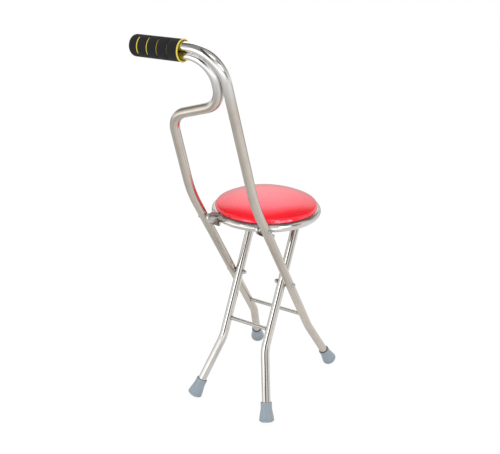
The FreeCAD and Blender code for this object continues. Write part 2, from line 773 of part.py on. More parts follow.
# Seat rails: angles across the ring, with hooks that drop over the short frame's rod
board_base = seat_base + size("cover_thickness")
web_top = ring_top - size("rail_top_gap")
rail_chord = math.sqrt(size("ring_radius") ** 2 - rail_x ** 2)
flange_reach = rail_chord - size("flange_end_inset")
RAIL_CHORD = "sqrt(Sizes.ring_radius ^ 2 - (0.5 * Sizes.rail_spacing) ^ 2)"
web = box("rail_web", ("Sizes.rail_thickness", "2 * " + RAIL_CHORD, "Sizes.rail_height"),
          Vector(rail_x, ring_y - rail_chord, web_top - size("rail_height")))
flange = box("rail_flange", ("Sizes.flange_width + Sizes.rail_thickness",
                             "2 * (" + RAIL_CHORD + " - Sizes.flange_end_inset)", "Sizes.flange_thickness"),
             Vector(rail_x - size("flange_width"), ring_y - flange_reach,
                    board_base - size("flange_thickness")))
hook_lobe = cylinder("hook_lobe", "0.5 * Sizes.rod_diameter + Sizes.rod_gap + Sizes.hook_wall",
                     "Sizes.rail_thickness", rod + ACROSS * rail_x, ACROSS)
HOOK_HALF = "0.5 * Sizes.rod_diameter + Sizes.rod_gap"
hook_seat = cross_pin("hook_seat", HOOK_HALF, rod)
hook_half = size("rod_diameter") / 2 + size("rod_gap")
mouth_angle = math.radians(size("hook_mouth_angle"))
mouth_way = Vector(0, -math.cos(mouth_angle), -math.sin(mouth_angle))
mouth_side = Vector(0, mouth_way.z, -mouth_way.y)
hook_mouth = box("hook_mouth", ("2 * Sizes.long_half_width", "2 * (" + HOOK_HALF + ")",
                                "Sizes.rod_diameter + 2 * Sizes.hook_wall"),
                 rod - ACROSS * long_x - mouth_side * hook_half,
                 Rotation(ACROSS, mouth_side, mouth_way, "ZXY"))

screw_x = rail_x - size("flange_width") / 2
screw_y = flange_reach - size("screw_inset")
screw_places = [Vector(screw_x, ring_y + way * screw_y, board_base - size("flange_thickness"))
                for way in (-1, 1)]
screw_clear = [cylinder("screw_hole_%d" % number, "0.5 * Sizes.screw_diameter + Sizes.screw_clearance",
                        "Sizes.flange_thickness + 2 * Sizes.overrun", place - UPWARD * size("overrun"),
                        UPWARD)
               for number, place in enumerate(screw_places, start=1)]
rail_trimmed = cut("rail_trimmed", fuse("rail_stock", [web, flange, hook_lobe]), [ring_outer])
hook_opening = fuse("hook_opening", [hook_seat, hook_mouth])
right_seat_rail = cut("right_seat_rail", cut("rail_hooked", rail_trimmed, [hook_opening]), screw_clear)
left_seat_rail = mirrored("left_seat_rail", right_seat_rail)

# Seat screws, up through the flanges into the board
screws = []
for number, place in enumerate(screw_places, start=1):
    screw = turned_body("seat_screw_%d" % number, [
        ("0", "0"),
        ("half screw_head_diameter", "0"),
        ("half screw_head_diameter", "screw_head_height"),
        ("half screw_diameter", "screw_head_height"),
        ("half screw_diameter", "screw_head_height + screw_length"),
        ("0", "screw_head_height + screw_length"),
    ])
    screw.Placement = Placement(place - UPWARD * size("screw_head_height"), Rotation())
    screws += [screw, mirrored("seat_screw_%d_mirrored" % number, screw)]
seat_screws = bundle("seat_screws", screws)

# Board, foam and cover, all round about the seat's centre
board_disc = cylinder("seat_board_disc", "Sizes.ring_radius - Sizes.board_inset", "Sizes.board_thickness",
                      Vector(0, ring_y, board_base), UPWARD)
pilots = [cylinder("screw_pilot_%d" % number, "0.5 * Sizes.screw_diameter",
                   "Sizes.screw_length", place, UPWARD)
          for number, place in enumerate(screw_places, start=1)]
pilots += [mirrored(item.Name + "_mirrored", item) for item in pilots]
seat_board = cut("seat_board", board_disc, pilots)


# The cushion's outline runs from the underside round a tucked hem and a tight edge to the crown
RIM = "ring_radius + cushion_overhang"
cushion_form = turned_body("cushion_form", [
    ("0", "0"),
    (RIM + " - cushion_tuck", "0"),
    (RIM, "cushion_tuck"),
    (RIM + " - cushion_edge_inset", "cushion_edge_height"),
    (RIM + " - cushion_shoulder_inset", "cushion_shoulder_height"),
    (RIM + " - cushion_flank_inset", "cushion_flank_height"),
    (RIM + " - cushion_slope_inset", "cushion_slope_height"),
    (RIM + " - cushion_crown_inset", "cushion_crown_height"),
    ("0", "cushion_height"),
])
cushion_form.Placement = Placement(Vector(0, ring_y, seat_base), Rotation())
hem_opening = cylinder("hem_opening", "Sizes.ring_radius + Sizes.cushion_overhang - Sizes.hem_width",
                       "Sizes.cover_thickness + Sizes.overrun",
                       Vector(0, ring_y, board_base - size("cover_thickness") - size("overrun")), UPWARD)
seat_cushion = cut("seat_cushion", cushion_form, [board_disc, hem_opening])

NODES = [
    right_cane_tube, left_cane_tube, long_frame_bar, foam_grip, grip_core, long_feet, long_foot_discs,
    pivot_bolts, pivot_washers, pivot_nuts, hinge_bolts, hinge_spacers, hinge_nuts,
    right_short_leg, left_short_leg, short_frame_bar, seat_rod, leg_plugs, short_feet, short_foot_discs,
    seat_ring, hinge_ears, stop_pins, stop_sleeves,
    right_seat_rail, left_seat_rail, seat_screws, seat_board, seat_cushion,
]

doc.recompute()
for item in doc.Objects:
    if "Invalid" in item.State or "Error" in item.State:
        raise RuntimeError("failed: %s %s" % (item.Name, item.State))

os.makedirs("parts", exist_ok=True)
for node in NODES:
    shape = node.Shape
    if shape.isNull() or not shape.isValid() or not shape.Solids:
        raise RuntimeError("bad shape: " + node.Name)
for node in NODES:
    node.Label = node.Name
    node.Shape.exportStep("parts/%s.step" % node.Label)
    print("%-20s %d solid(s) %10.1f mm3" % (node.Label, len(node.Shape.Solids), node.Shape.Volume))

everything = Part.Compound([node.Shape for node in NODES])
print("bounds", everything.BoundBox)
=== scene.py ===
"""Visual model of a folding cane stool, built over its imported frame.

Every size is in metres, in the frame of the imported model: X runs along the
seat hinge, Y from the cane to the seat, and Z up from the floor. The tubes,
foam grip, rubber feet, bolt heads, welds and padded seat are modelled here,
and the other pieces are the frame's own with these finishes.
"""

import json
import logging
import math
from dataclasses import dataclass
from enum import Enum
from typing import Callable, Sequence

import bpy
from mathutils import Matrix, Vector, noise

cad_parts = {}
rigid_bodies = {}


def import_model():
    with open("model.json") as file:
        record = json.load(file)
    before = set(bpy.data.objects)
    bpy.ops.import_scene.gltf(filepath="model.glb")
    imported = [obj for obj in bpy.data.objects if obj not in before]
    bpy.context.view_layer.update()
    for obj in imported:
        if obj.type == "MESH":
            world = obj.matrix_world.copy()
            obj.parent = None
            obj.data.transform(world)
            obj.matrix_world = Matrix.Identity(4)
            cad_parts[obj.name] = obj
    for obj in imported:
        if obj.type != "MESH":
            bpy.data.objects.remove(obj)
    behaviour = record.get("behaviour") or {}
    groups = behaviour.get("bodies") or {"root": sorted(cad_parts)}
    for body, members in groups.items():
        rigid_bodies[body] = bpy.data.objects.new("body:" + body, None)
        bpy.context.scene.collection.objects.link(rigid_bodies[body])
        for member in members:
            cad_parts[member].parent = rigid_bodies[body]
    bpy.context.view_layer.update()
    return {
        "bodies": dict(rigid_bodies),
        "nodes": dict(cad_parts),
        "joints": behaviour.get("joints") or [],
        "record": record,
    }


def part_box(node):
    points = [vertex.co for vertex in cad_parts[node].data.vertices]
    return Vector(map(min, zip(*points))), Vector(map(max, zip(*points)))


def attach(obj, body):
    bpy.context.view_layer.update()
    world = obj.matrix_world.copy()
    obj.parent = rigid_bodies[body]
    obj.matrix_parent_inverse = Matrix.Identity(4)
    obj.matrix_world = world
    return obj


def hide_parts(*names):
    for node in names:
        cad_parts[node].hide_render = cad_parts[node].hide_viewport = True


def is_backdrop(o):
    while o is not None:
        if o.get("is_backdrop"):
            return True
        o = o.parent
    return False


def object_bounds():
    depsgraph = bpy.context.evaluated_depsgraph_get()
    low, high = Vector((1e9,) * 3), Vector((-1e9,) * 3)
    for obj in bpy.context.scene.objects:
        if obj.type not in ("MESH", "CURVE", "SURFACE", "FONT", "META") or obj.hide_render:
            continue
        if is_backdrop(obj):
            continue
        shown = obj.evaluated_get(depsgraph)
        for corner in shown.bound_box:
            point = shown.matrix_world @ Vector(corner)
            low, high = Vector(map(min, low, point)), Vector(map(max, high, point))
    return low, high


log = logging.getLogger("cane_stool")

ACROSS = Vector((1.0, 0.0, 0.0))
UPWARD = Vector((0.0, 0.0, 1.0))

WHITE = (1.0, 1.0, 1.0, 1.0)
TINY = 0.000001

Colour = tuple[float, float, float]
Pair = tuple[float, float]
Stops = tuple[Pair, ...]
Outline = list[Vector]
Socket = bpy.types.NodeSocket


class Body(Enum):
    """The bodies of the frame that a piece can ride on."""

    LONG_FRAME = "long_frame"
    SHORT_FRAME = "short_frame"
    SEAT = "seat"


class Slot(Enum):
    """The frame's material slots."""

    SATIN_STEEL = "satin_steel"
    BRIGHT_STEEL = "bright_steel"
    ZINC_STEEL = "zinc_steel"
    GREY_RUBBER = "grey_rubber"
    BLACK_FOAM = "black_foam"
    YELLOW_FOAM = "yellow_foam"
    PLYWOOD = "plywood"
    RED_VINYL = "red_vinyl"


class Trim(Enum):
    """Finishes that some pieces wear in place of their slot's own."""

    PLATE = "plate"
    ROD = "rod"
    EAR = "ear"
    BOLT = "bolt"
    WELD = "weld"


class Side(Enum):
    """The two sides of the stool, as the sign of X."""

    RIGHT = 1.0
    LEFT = -1.0

    @property
    def word(self) -> str:
        """The side's word in the names of pieces."""
        return self.name.lower()

    @property
    def mirror(self) -> Matrix:
        """What turns a point of the right side into this side's."""
        return Matrix.Diagonal((self.value, 1.0, 1.0))


class Mapping(Enum):
    """Where a finish takes its coordinates from."""

    ALONG_TUBE = "UV"
    IN_SPACE = "Object"


# Shader building

# The colour sockets of a mix node, which come after its sockets for numbers and vectors
MIX_COLOURS = slice(6, 8)
MIX_RESULT = 2

MARK_EDGE = (0.42, 0.68)
DUST_SCALE = 0.37
DUST_WEIGHT = 0.5


class Sketch:
    """A node tree with short calls for its nodes and links."""

    def __init__(self, tree: bpy.types.NodeTree) -> None:
        """Keeps the tree and clears it."""
        self.tree = tree
        tree.nodes.clear()

    def feed(self, target: Socket, value: object) -> None:
        """Feeds an input.

        Args:
            target: The input.
            value: A socket to link to it, or the plain value that it gets.
        """
        if isinstance(value, Socket):
            self.tree.links.new(value, target)
        else:
            target.default_value = value

    def add(self, kind: str, *terms: object, **values: object) -> bpy.types.Node:
        """Adds a node and feeds it.

        Args:
            kind: The node's type name in Blender.
            terms: Its first inputs in order, each a socket or a plain value.
            values: Its properties, or its inputs with spaces as underscores.

        Returns:
            The new node.
        """
        made = self.tree.nodes.new(kind)
        for name, value in values.items():
            if hasattr(made, name):
                setattr(made, name, value)
            else:
                self.feed(made.inputs[name.replace("_", " ")], value)
        for target, term in zip(made.inputs, terms):
            self.feed(target, term)
        return made

    def maths(self, operation: str, *terms: object) -> Socket:
        """The result of a maths node on sockets or numbers."""
        return self.add("ShaderNodeMath", *terms, operation=operation).outputs[0]

    def remap(self, value: Socket, reach: Pair = (0.0, 1.0), onto: Pair = (0.0, 1.0)) -> Socket:
        """One range of values mapped onto another, held at its ends."""
        return self.add("ShaderNodeMapRange", value, *reach, *onto).outputs["Result"]

    def mix_shaders(self, factor: Socket, first: Socket, second: Socket) -> Socket:
        """Two shaders mixed, the first one where the factor is 0."""
        return self.add("ShaderNodeMixShader", factor, first, second).outputs[0]

    def blend(self, factor: Socket, first: Socket | Colour, second: Socket | Colour) -> Socket:
        """Mixes two colours by a mask.

        Args:
            factor: The mask.
            first: The colour where the mask is 0.
            second: The colour where the mask is 1.

        Returns:
            The mixed colour's socket.
        """
        made = self.add("ShaderNodeMix", factor, data_type="RGBA")
        for target, colour in zip(made.inputs[MIX_COLOURS], (first, second)):
            self.feed(target, (*colour, 1.0) if isinstance(colour, tuple) else colour)
        return made.outputs[MIX_RESULT]

    def grey_ramp(self, share: Socket, stops: Stops, full: float = 1.0) -> Socket:
        """Turns a share of 0 to 1 into grey levels.

        Args:
            share: The share's socket.
            stops: Place and level of each stop. The first place stands for 0, the last for 1.
            full: The level that comes out as 1.

        Returns:
            The level's socket.
        """
        ramp = self.add("ShaderNodeValToRGB", share)
        elements = ramp.color_ramp.elements
        low, high = stops[0][0], stops[-1][0]
        for spot, _ in stops[1:-1]:
            elements.new((spot - low) / (high - low))
        for (_, level), element in zip(stops, sorted(elements, key=lambda item: item.position)):
            element.color = (level / full, level / full, level / full, 1.0)
        return ramp.outputs["Color"]

    def rise(self) -> Socket:
        """The height above the floor, which the pieces' own coordinates start from."""
        spot = self.add("ShaderNodeTexCoord").outputs["Object"]
        return self.add("ShaderNodeSeparateXYZ", spot).outputs["Z"]


def effect_group(name: str, mask: str, inputs: dict[str, float],
                 build: Callable[[Sketch, dict[str, Socket]], Socket]) -> bpy.types.NodeTree:
    """Builds a shader node group once and returns it.

    Args:
        name: The group's name.
        mask: The name of its one output.
        inputs: Its number inputs with their defaults; a Vector input is added first.
        build: Makes the mask from the group's inputs.

    Returns:
        The node group.
    """
    found = bpy.data.node_groups.get(name)
    if found:
        return found
    group = bpy.data.node_groups.new(name, "ShaderNodeTree")
    group.interface.new_socket("Vector", in_out="INPUT", socket_type="NodeSocketVector")
    for label, default in inputs.items():
        made = group.interface.new_socket(label, in_out="INPUT", socket_type="NodeSocketFloat")
        made.default_value = default
    group.interface.new_socket(mask, in_out="OUTPUT", socket_type="NodeSocketFloat")
    sketch = Sketch(group)
    given = dict(sketch.add("NodeGroupInput").outputs.items())
    sketch.add("NodeGroupOutput", build(sketch, given))
    return group


def drawn_lines() -> bpy.types.NodeTree:
    """Fine polishing lines that run along the second coordinate.

    Returns:
        The node group.
    """

    def build(sketch: Sketch, given: dict[str, Socket]) -> Socket:
        """Stretches a noise along the lines.

        Args:
            sketch: The group's node sketch.
            given: The group's inputs by name.

        Returns:
            The lines' mask.
        """
        squeeze = sketch.add("ShaderNodeCombineXYZ", given["Density"], given["Length"], given["Density"])
        spread = sketch.add("ShaderNodeVectorMath", given["Vector"], squeeze.outputs["Vector"],
                            operation="MULTIPLY")
        lines = sketch.add("ShaderNodeTexNoise", Vector=spread.outputs["Vector"], Scale=1.0, Detail=3.0,
                           Roughness=0.65)
        return lines.outputs["Fac"]

    return effect_group("drawn_lines", "Lines", {"Density": 1800.0, "Length": 40.0}, build)


def handling_marks() -> bpy.types.NodeTree:
    """Soft patches left by use.

    Returns:
        The node group.
    """

    def build(sketch: Sketch, given: dict[str, Socket]) -> Socket:
        """Shapes a broad noise into patches.

        Args:
            sketch: The group's node sketch.
            given: The group's inputs by name.

        Returns:
            The patches' mask.
        """
        cloud = sketch.add("ShaderNodeTexNoise", Vector=given["Vector"], Scale=given["Scale"], Detail=4.0,
                           Roughness=0.6)
        return sketch.remap(cloud.outputs["Fac"], MARK_EDGE)

    return effect_group("handling_marks", "Patches", {"Scale": 30.0}, build)


def fine_grain() -> bpy.types.NodeTree:
    """A pebbled grain for rubber, foam and vinyl.

    Returns:
        The node group.
    """

    def build(sketch: Sketch, given: dict[str, Socket]) -> Socket:
        """Joins a cell pattern and a noise at the grain's scale.

        Args:
            sketch: The group's node sketch.
            given: The group's inputs by name.

        Returns:
            The grain's mask.
        """
        cells = sketch.add("ShaderNodeTexVoronoi", feature="SMOOTH_F1", Vector=given["Vector"],
                           Scale=given["Scale"], Smoothness=0.6)
        dust = sketch.add("ShaderNodeTexNoise", Vector=given["Vector"],
                          Scale=sketch.maths("MULTIPLY", given["Scale"], DUST_SCALE), Detail=3.0)
        return sketch.maths("MULTIPLY_ADD", dust.outputs["Fac"], DUST_WEIGHT, cells.outputs["Distance"])

    return effect_group("fine_grain", "Grain", {"Scale": 900.0}, build)


class Dressing:
    """One material: its node sketch, its Principled shader and its coordinates."""

    def __init__(self, name: str, mapping: Mapping = Mapping.IN_SPACE, **constants: object) -> None:
        """Makes the material with a shader wired to its output.

        Args:
            name: The material's name.
            mapping: Where its textures take their coordinates from.
            constants: The shader's constant inputs, with spaces as underscores.
        """
        self.material = bpy.data.materials.new(name)
        self.material.use_nodes = True
        self.sketch = Sketch(self.material.node_tree)
        self.shader = self.sketch.add("ShaderNodeBsdfPrincipled", **constants)
        self.sketch.add("ShaderNodeOutputMaterial", self.shader.outputs["BSDF"])
        self.where = self.sketch.add("ShaderNodeTexCoord").outputs[mapping.value]

    def effect(self, group: bpy.types.NodeTree, **values: float) -> Socket:
        """The mask of an effect group that is placed with its own values."""
        return self.sketch.add("ShaderNodeGroup", self.where, node_tree=group, **values).outputs[0]

    def complete(self, colour: Socket, roughness: Socket | float, height: Socket,
                 depth: float) -> bpy.types.Material:
        """Feeds the shader its colour, roughness and fine relief.

        Args:
            colour: The base colour.
            roughness: The roughness, changing or constant.
            height: The relief, as a mask.
            depth: How high the mask's 1 stands, in metres.

        Returns:
            The finished material.
        """
        relief = self.sketch.add("ShaderNodeBump", Height=height, Strength=1.0, Distance=depth)
        fed = {"Base Color": colour, "Roughness": roughness, "Normal": relief.outputs["Normal"]}
        for label, value in fed.items():
            self.sketch.feed(self.shader.inputs[label], value)
        return self.material


# Finishes

@dataclass(frozen=True)
class SteelFinish:
    """Bare or plated steel with polishing lines, handling marks and streaks broader than the lines."""

    name: str
    tint: Colour
    roughness: float
    line_spread: float
    line_depth: float
    density: float = 1800.0
    length: float = 40.0
    streak: float = 0.75
    streak_breadth: float = 10.0
    streak_stretch: float = 12.0
    streak_edge: Pair = (0.46, 0.66)
    mark_scale: float = 26.0
    mark_shade: float = 0.9
    mark_roughness: float = 0.05
    mapping: Mapping = Mapping.ALONG_TUBE
    # An optional brighter, more neutral tint above a height is a painted reflection near the handle; the
    # roughness also falls there.
    handle_reflection_tint: Colour | None = None
    near_handle_rise: Pair = (0.75, 0.80)
    near_handle_roughness: float = -0.065

    def material(self) -> bpy.types.Material:
        """Builds the metal's material.

        Returns:
            The material.
        """
        dressing = Dressing(self.name, self.mapping, Metallic=1.0)
        sketch = dressing.sketch
        lines = dressing.effect(drawn_lines(), Density=self.density, Length=self.length)
        broad = dressing.effect(drawn_lines(), Density=self.density / self.streak_breadth,
                                Length=self.length / self.streak_stretch)
        marks = dressing.effect(handling_marks(), Scale=self.mark_scale)
        dull = tuple(self.mark_shade * part for part in self.tint)
        dark = tuple(self.streak * part for part in self.tint)
        plain = sketch.blend(marks, self.tint, dull)
        shade = sketch.blend(sketch.remap(broad, self.streak_edge), plain, dark)
        spread = (self.roughness - self.line_spread, self.roughness + self.line_spread)
        worn = sketch.remap(lines, onto=spread)
        # Above a height the colour turns to the painted reflection tint, and the roughness falls.
        if self.handle_reflection_tint:
            near_handle = sketch.remap(sketch.rise(), self.near_handle_rise)
            shade = sketch.blend(near_handle, shade, self.handle_reflection_tint)
            worn = sketch.maths("MULTIPLY_ADD", near_handle, self.near_handle_roughness, worn)
        worn = sketch.maths("MULTIPLY_ADD", marks, self.mark_roughness, worn)
        return dressing.complete(shade, worn, lines, self.line_depth)


@dataclass(frozen=True)
class PaintedReflectionPlateFinish:
    """Plate steel with a painted dark brown reflection below a level."""

    name: str
    tint: Colour
    reflected_brown: Colour
    reflection_rise: Pair
    density: float = 700.0
    mark_scale: float = 90.0
    ragged: float = 0.004
    roughness: Pair = (0.12, 0.28)
    line_depth: float = 0.00003

    def material(self) -> bpy.types.Material:
        """Builds the plate's material.

        Returns:
            The material.
        """
        dressing = Dressing(self.name, Metallic=1.0)
        sketch = dressing.sketch
        lines = dressing.effect(drawn_lines(), Density=self.density, Length=self.density)
        marks = dressing.effect(handling_marks(), Scale=self.mark_scale)
        ragged = sketch.maths("MULTIPLY_ADD", marks, self.ragged, sketch.rise())
        # Below a ragged level the plate takes the painted brown reflection.
        shade = sketch.blend(sketch.remap(ragged, self.reflection_rise), self.tint, self.reflected_brown)
        return dressing.complete(shade, sketch.remap(lines, onto=self.roughness), lines, self.line_depth)


@dataclass(frozen=True)
class RubberFinish:
    """Moulded rubber, scuffed darker towards the floor."""

    name: str
    tint: Colour
    dust: Colour
    dusty_rise: Pair = (0.022, 0.0)
    dustiest: float = 0.6
    grain_scale: float = 1400.0
    grain_depth: float = 0.00006
    mark_scale: float = 60.0
    roughness: Pair = (0.40, 0.52)

    def material(self) -> bpy.types.Material:
        """Builds the rubber's material.

        Returns:
            The material.
        """
        dressing = Dressing(self.name, Specular_IOR_Level=0.5)
        sketch = dressing.sketch
        grain = dressing.effect(fine_grain(), Scale=self.grain_scale)
        marks = dressing.effect(handling_marks(), Scale=self.mark_scale)
        low = sketch.remap(sketch.rise(), self.dusty_rise, (0.0, self.dustiest))
        shade = sketch.blend(sketch.maths("MULTIPLY", low, marks), self.tint, self.dust)
        return dressing.complete(shade, sketch.remap(marks, onto=self.roughness), grain, self.grain_depth)


@dataclass(frozen=True)
class FoamFinish:
    """Closed-cell grip foam with an open, dry surface."""

    name: str
    tint: Colour
    pale: Colour
    palest: float = 0.6
    grain_scale: float = 1500.0
    grain_depth: float = 0.00018
    mark_scale: float = 45.0
    roughness: Pair = (0.92, 0.8)

    def material(self) -> bpy.types.Material:
        """Builds the foam's material.

        Returns:
            The material.
        """
        dressing = Dressing(self.name, Specular_IOR_Level=0.12, Sheen_Weight=0.06, Sheen_Roughness=0.5)
        sketch = dressing.sketch
        grain = dressing.effect(fine_grain(), Scale=self.grain_scale)
        marks = dressing.effect(handling_marks(), Scale=self.mark_scale)
        shade = sketch.blend(sketch.maths("MULTIPLY", grain, self.palest), self.tint, self.pale)
        return dressing.complete(shade, sketch.remap(marks, onto=self.roughness), grain, self.grain_depth)


@dataclass(frozen=True)
class VinylFinish:
    """Glossy upholstery vinyl with a faint leather grain."""

    name: str
    tint: Colour
    deep: Colour
    grain_scale: float = 700.0
    grain_depth: float = 0.000008
    mark_scale: float = 14.0
    roughness: Pair = (0.13, 0.21)

    def material(self) -> bpy.types.Material:
        """Builds the vinyl's material.

        Returns:
            The material.
        """
        dressing = Dressing(self.name, Coat_Weight=0.5, Coat_Roughness=0.09, Coat_IOR=1.7,
                            Specular_IOR_Level=0.84, Specular_Tint=(0.7, 0.7, 1.0, 1.0))
        sketch = dressing.sketch
        grain = dressing.effect(fine_grain(), Scale=self.grain_scale)
        marks = dressing.effect(handling_marks(), Scale=self.mark_scale)
        shade = sketch.blend(marks, self.tint, self.deep)
        return dressing.complete(shade, sketch.remap(grain, onto=self.roughness), grain, self.grain_depth)


@dataclass(frozen=True)
class PlywoodFinish:
    """Bare board with a stretched grain."""

    name: str
    pale: Colour
    dark: Colour
    density: float = 260.0
    length: float = 9.0
    roughness: float = 0.75
    grain_depth: float = 0.0002

    def material(self) -> bpy.types.Material:
        """Builds the board's material.

        Returns:
            The material.
        """
        dressing = Dressing(self.name)
        lines = dressing.effect(drawn_lines(), Density=self.density, Length=self.length)
        shade = dressing.sketch.blend(lines, self.pale, self.dark)
        return dressing.complete(shade, self.roughness, lines, self.grain_depth)


STEEL_TINT = (0.74, 0.71, 0.675)

FINISHES = {
    # The satin tubes take a painted reflection tint near the handle.
    Slot.SATIN_STEEL: SteelFinish(
        "satin_tube_steel", (0.66, 0.60, 0.53), roughness=0.20, line_spread=0.05, line_depth=0.000007,
        streak=0.76, handle_reflection_tint=(0.74, 0.725, 0.705)),
    Slot.BRIGHT_STEEL: SteelFinish(
        "polished_tube_steel", STEEL_TINT, roughness=0.07, line_spread=0.02, line_depth=0.000002,
        streak=0.85),
    Slot.ZINC_STEEL: SteelFinish(
        "plated_fastener_steel", (0.74, 0.75, 0.76), roughness=0.24, line_spread=0.05, line_depth=0.00002,
        density=900.0, length=900.0, mapping=Mapping.IN_SPACE),
    Slot.GREY_RUBBER: RubberFinish("moulded_foot_rubber", (0.33, 0.385, 0.435), (0.24, 0.26, 0.28)),
    Slot.BLACK_FOAM: FoamFinish("grip_foam_skin", (0.014, 0.013, 0.014), (0.030, 0.028, 0.030)),
    Slot.YELLOW_FOAM: FoamFinish("grip_foam_core", (0.78, 0.62, 0.07), (0.86, 0.72, 0.14)),
    Slot.PLYWOOD: PlywoodFinish("seat_board_plywood", (0.60, 0.43, 0.26), (0.40, 0.26, 0.14)),
    Slot.RED_VINYL: VinylFinish("seat_vinyl", (0.93, 0.001, 0.010), (0.86, 0.001, 0.008)),
    Trim.PLATE: SteelFinish(
        "polished_plate_steel", STEEL_TINT, roughness=0.12, line_spread=0.02, line_depth=0.000002,
        density=700.0, length=60.0, streak=0.85, mapping=Mapping.IN_SPACE),
    Trim.ROD: SteelFinish(
        "satin_rod_steel", (0.66, 0.64, 0.61), roughness=0.48, line_spread=0.05, line_depth=0.000004,
        density=110.0, length=110.0, streak=0.85, mapping=Mapping.IN_SPACE),
    # The hinge ears' brown lower part is a painted reflection.
    Trim.EAR: PaintedReflectionPlateFinish(
        "ear_steel_painted_reflection", STEEL_TINT, reflected_brown=(0.20, 0.155, 0.12), reflection_rise=(0.463, 0.455)),
    # The bolt heads' darkened steel is a painted shade that stands in for the shadow round their rims.
    Trim.BOLT: SteelFinish(
        "bolt_steel_painted_shade", (0.40, 0.40, 0.41), roughness=0.22, line_spread=0.04, line_depth=0.00001,
        density=900.0, length=900.0, streak=0.8, mapping=Mapping.IN_SPACE),
    Trim.WELD: SteelFinish(
        "weld_steel", (0.30, 0.27, 0.24), roughness=0.34, line_spread=0.08, line_depth=0.00006,
        density=1200.0, length=1200.0, streak=0.6, mapping=Mapping.IN_SPACE),
}

FRAME_TRIM = {
    "long_frame_bar": Trim.ROD,
    "short_frame_bar": Trim.ROD,
    "seat_rod": Trim.ROD,
    "hinge_ears": Trim.EAR,
}


class Wardrobe:
    """The built materials, by slot and by trim."""

    def __init__(self) -> None:
        """Builds every finish once."""
        self.cloth = {look: finish.material() for look, finish in FINISHES.items()}

    def dress(self, piece: bpy.types.Object, look: Slot | Trim) -> None:
        """Gives a piece one material on its only slot."""
        piece.data.materials.clear()
        piece.data.materials.append(self.cloth[look])

    def dress_frame(self, frame: dict) -> None:
        """Gives the frame's own nodes their finishes, and its steel plates a trim of their own.
        """
        slots = {entry["node"]: Slot(entry["material_slot"]) for entry in frame["record"]["subparts"]}
        for name, node in frame["nodes"].items():
            steel = slots[name] in (Slot.BRIGHT_STEEL, Slot.SATIN_STEEL)
            self.dress(node, FRAME_TRIM.get(name, Trim.PLATE if steel else slots[name]))

    def finish(self, piece: bpy.types.Object, body: Body, slot: Slot, *nodes: str,
               trim: Trim | None = None) -> None:
        """Args:
            piece: The built piece.
            body: The body it rides on.
            slot: The slot that its finish comes from.
            nodes: The frame's nodes that it stands for.
            trim: What it wears in place of the slot's own finish, if anything.
        """
        self.dress(piece, trim or slot)
        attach(piece, body.value)
        if nodes:
            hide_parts(*nodes)
        log.info("%s rides on %s", piece.name, body.value)


# Mesh building

def round_corners(corners: Sequence[tuple[float, float, float]], steps: int = 8) -> Outline:
    """Rounds the inner corners of an open outline.

    Args:
        corners: Radius, height and rounding of each corner.
        steps: Points on each rounding.

    Returns:
        The outline's points, radius as X and height as Z.
    """
    points = [Vector((corners[0][0], 0.0, corners[0][1]))]
    for before, here, after in zip(corners, corners[1:], corners[2:]):
        corner = Vector((here[0], 0.0, here[1]))
        back = (Vector((before[0], 0.0, before[1])) - corner).normalized()
        onward = (Vector((after[0], 0.0, after[1])) - corner).normalized()
        if here[2] == 0:
            points.append(corner)
            continue
        half = (math.pi - back.angle(onward)) / 2
        reach = here[2] * math.tan(half)
        centre = corner + (back + onward).normalized() * (here[2] / math.cos(half))
        first, last = corner + back * reach - centre, corner + onward * reach - centre
        for step in range(steps + 1):
            points.append(centre + first.lerp(last, step / steps).normalized() * here[2])
    points.append(Vector((corners[-1][0], 0.0, corners[-1][1])))
    return points


def arc(centre: Pair, radius: float, first: float, last: float, steps: int) -> Outline:
    """Points along an arc of an outline.

    Args:
        centre: The centre's distance from the axis and height.
        radius: The arc's radius.
        first: The angle of its first point, from the upward way to the outward way.
        last: The angle of its last point.
        steps: How many steps lie between them.

    Returns:
        The arc's points.
    """
    turns = [first + (last - first) * step / steps for step in range(steps + 1)]
    return [Vector((centre[0] + radius * math.sin(turn), 0.0, centre[1] + radius * math.cos(turn)))
            for turn in turns]


def link_mesh(name: str, points: Sequence[Vector], faces: Sequence[Sequence[int]],
              along: Sequence[tuple[float, float]] | None = None) -> bpy.types.Object:
    """Makes a smooth-shaded object from points and faces.

    Args:
        name: The piece's name.
        points: Its vertices.
        faces: Vertex numbers of each face.
        along: A UV pair for each corner of each face in turn, if it has any.

    Returns:
        The linked object.
    """
    mesh = bpy.data.meshes.new(name)
    mesh.from_pydata([tuple(point) for point in points], [], [tuple(face) for face in faces])
    if along:
        layer = mesh.uv_layers.new(name="along")
        for corner, pair in zip(layer.data, along):
            corner.uv = pair
    mesh.update()
    mesh.shade_smooth()
    piece = bpy.data.objects.new(name, mesh)
    bpy.context.scene.collection.objects.link(piece)
    return piece


def skin_rings(name: str, rings: Sequence[Sequence[Vector]], lengths: Sequence[float],
               girth: float) -> bpy.types.Object:
    """Joins closed rings of points into a tube-like surface with UVs in metres.

    Args:
        name: The piece's name.
        rings: Rings of equal count.
        lengths: How far along each ring lies.
        girth: The ring's length round, for the UVs.

    Returns:
        The linked object.
    """
    count = len(rings[0])
    points = [point for ring in rings for point in ring]
    faces, along = [], []
    for row in range(len(rings) - 1):
        for column in range(count):
            after = (column + 1) % count
            faces.append((row * count + column, row * count + after,
                          (row + 1) * count + after, (row + 1) * count + column))
            left, right = girth * column / count, girth * (column + 1) / count
            along += [(left, lengths[row]), (right, lengths[row]),
                      (right, lengths[row + 1]), (left, lengths[row + 1])]
    return link_mesh(name, points, faces, along)


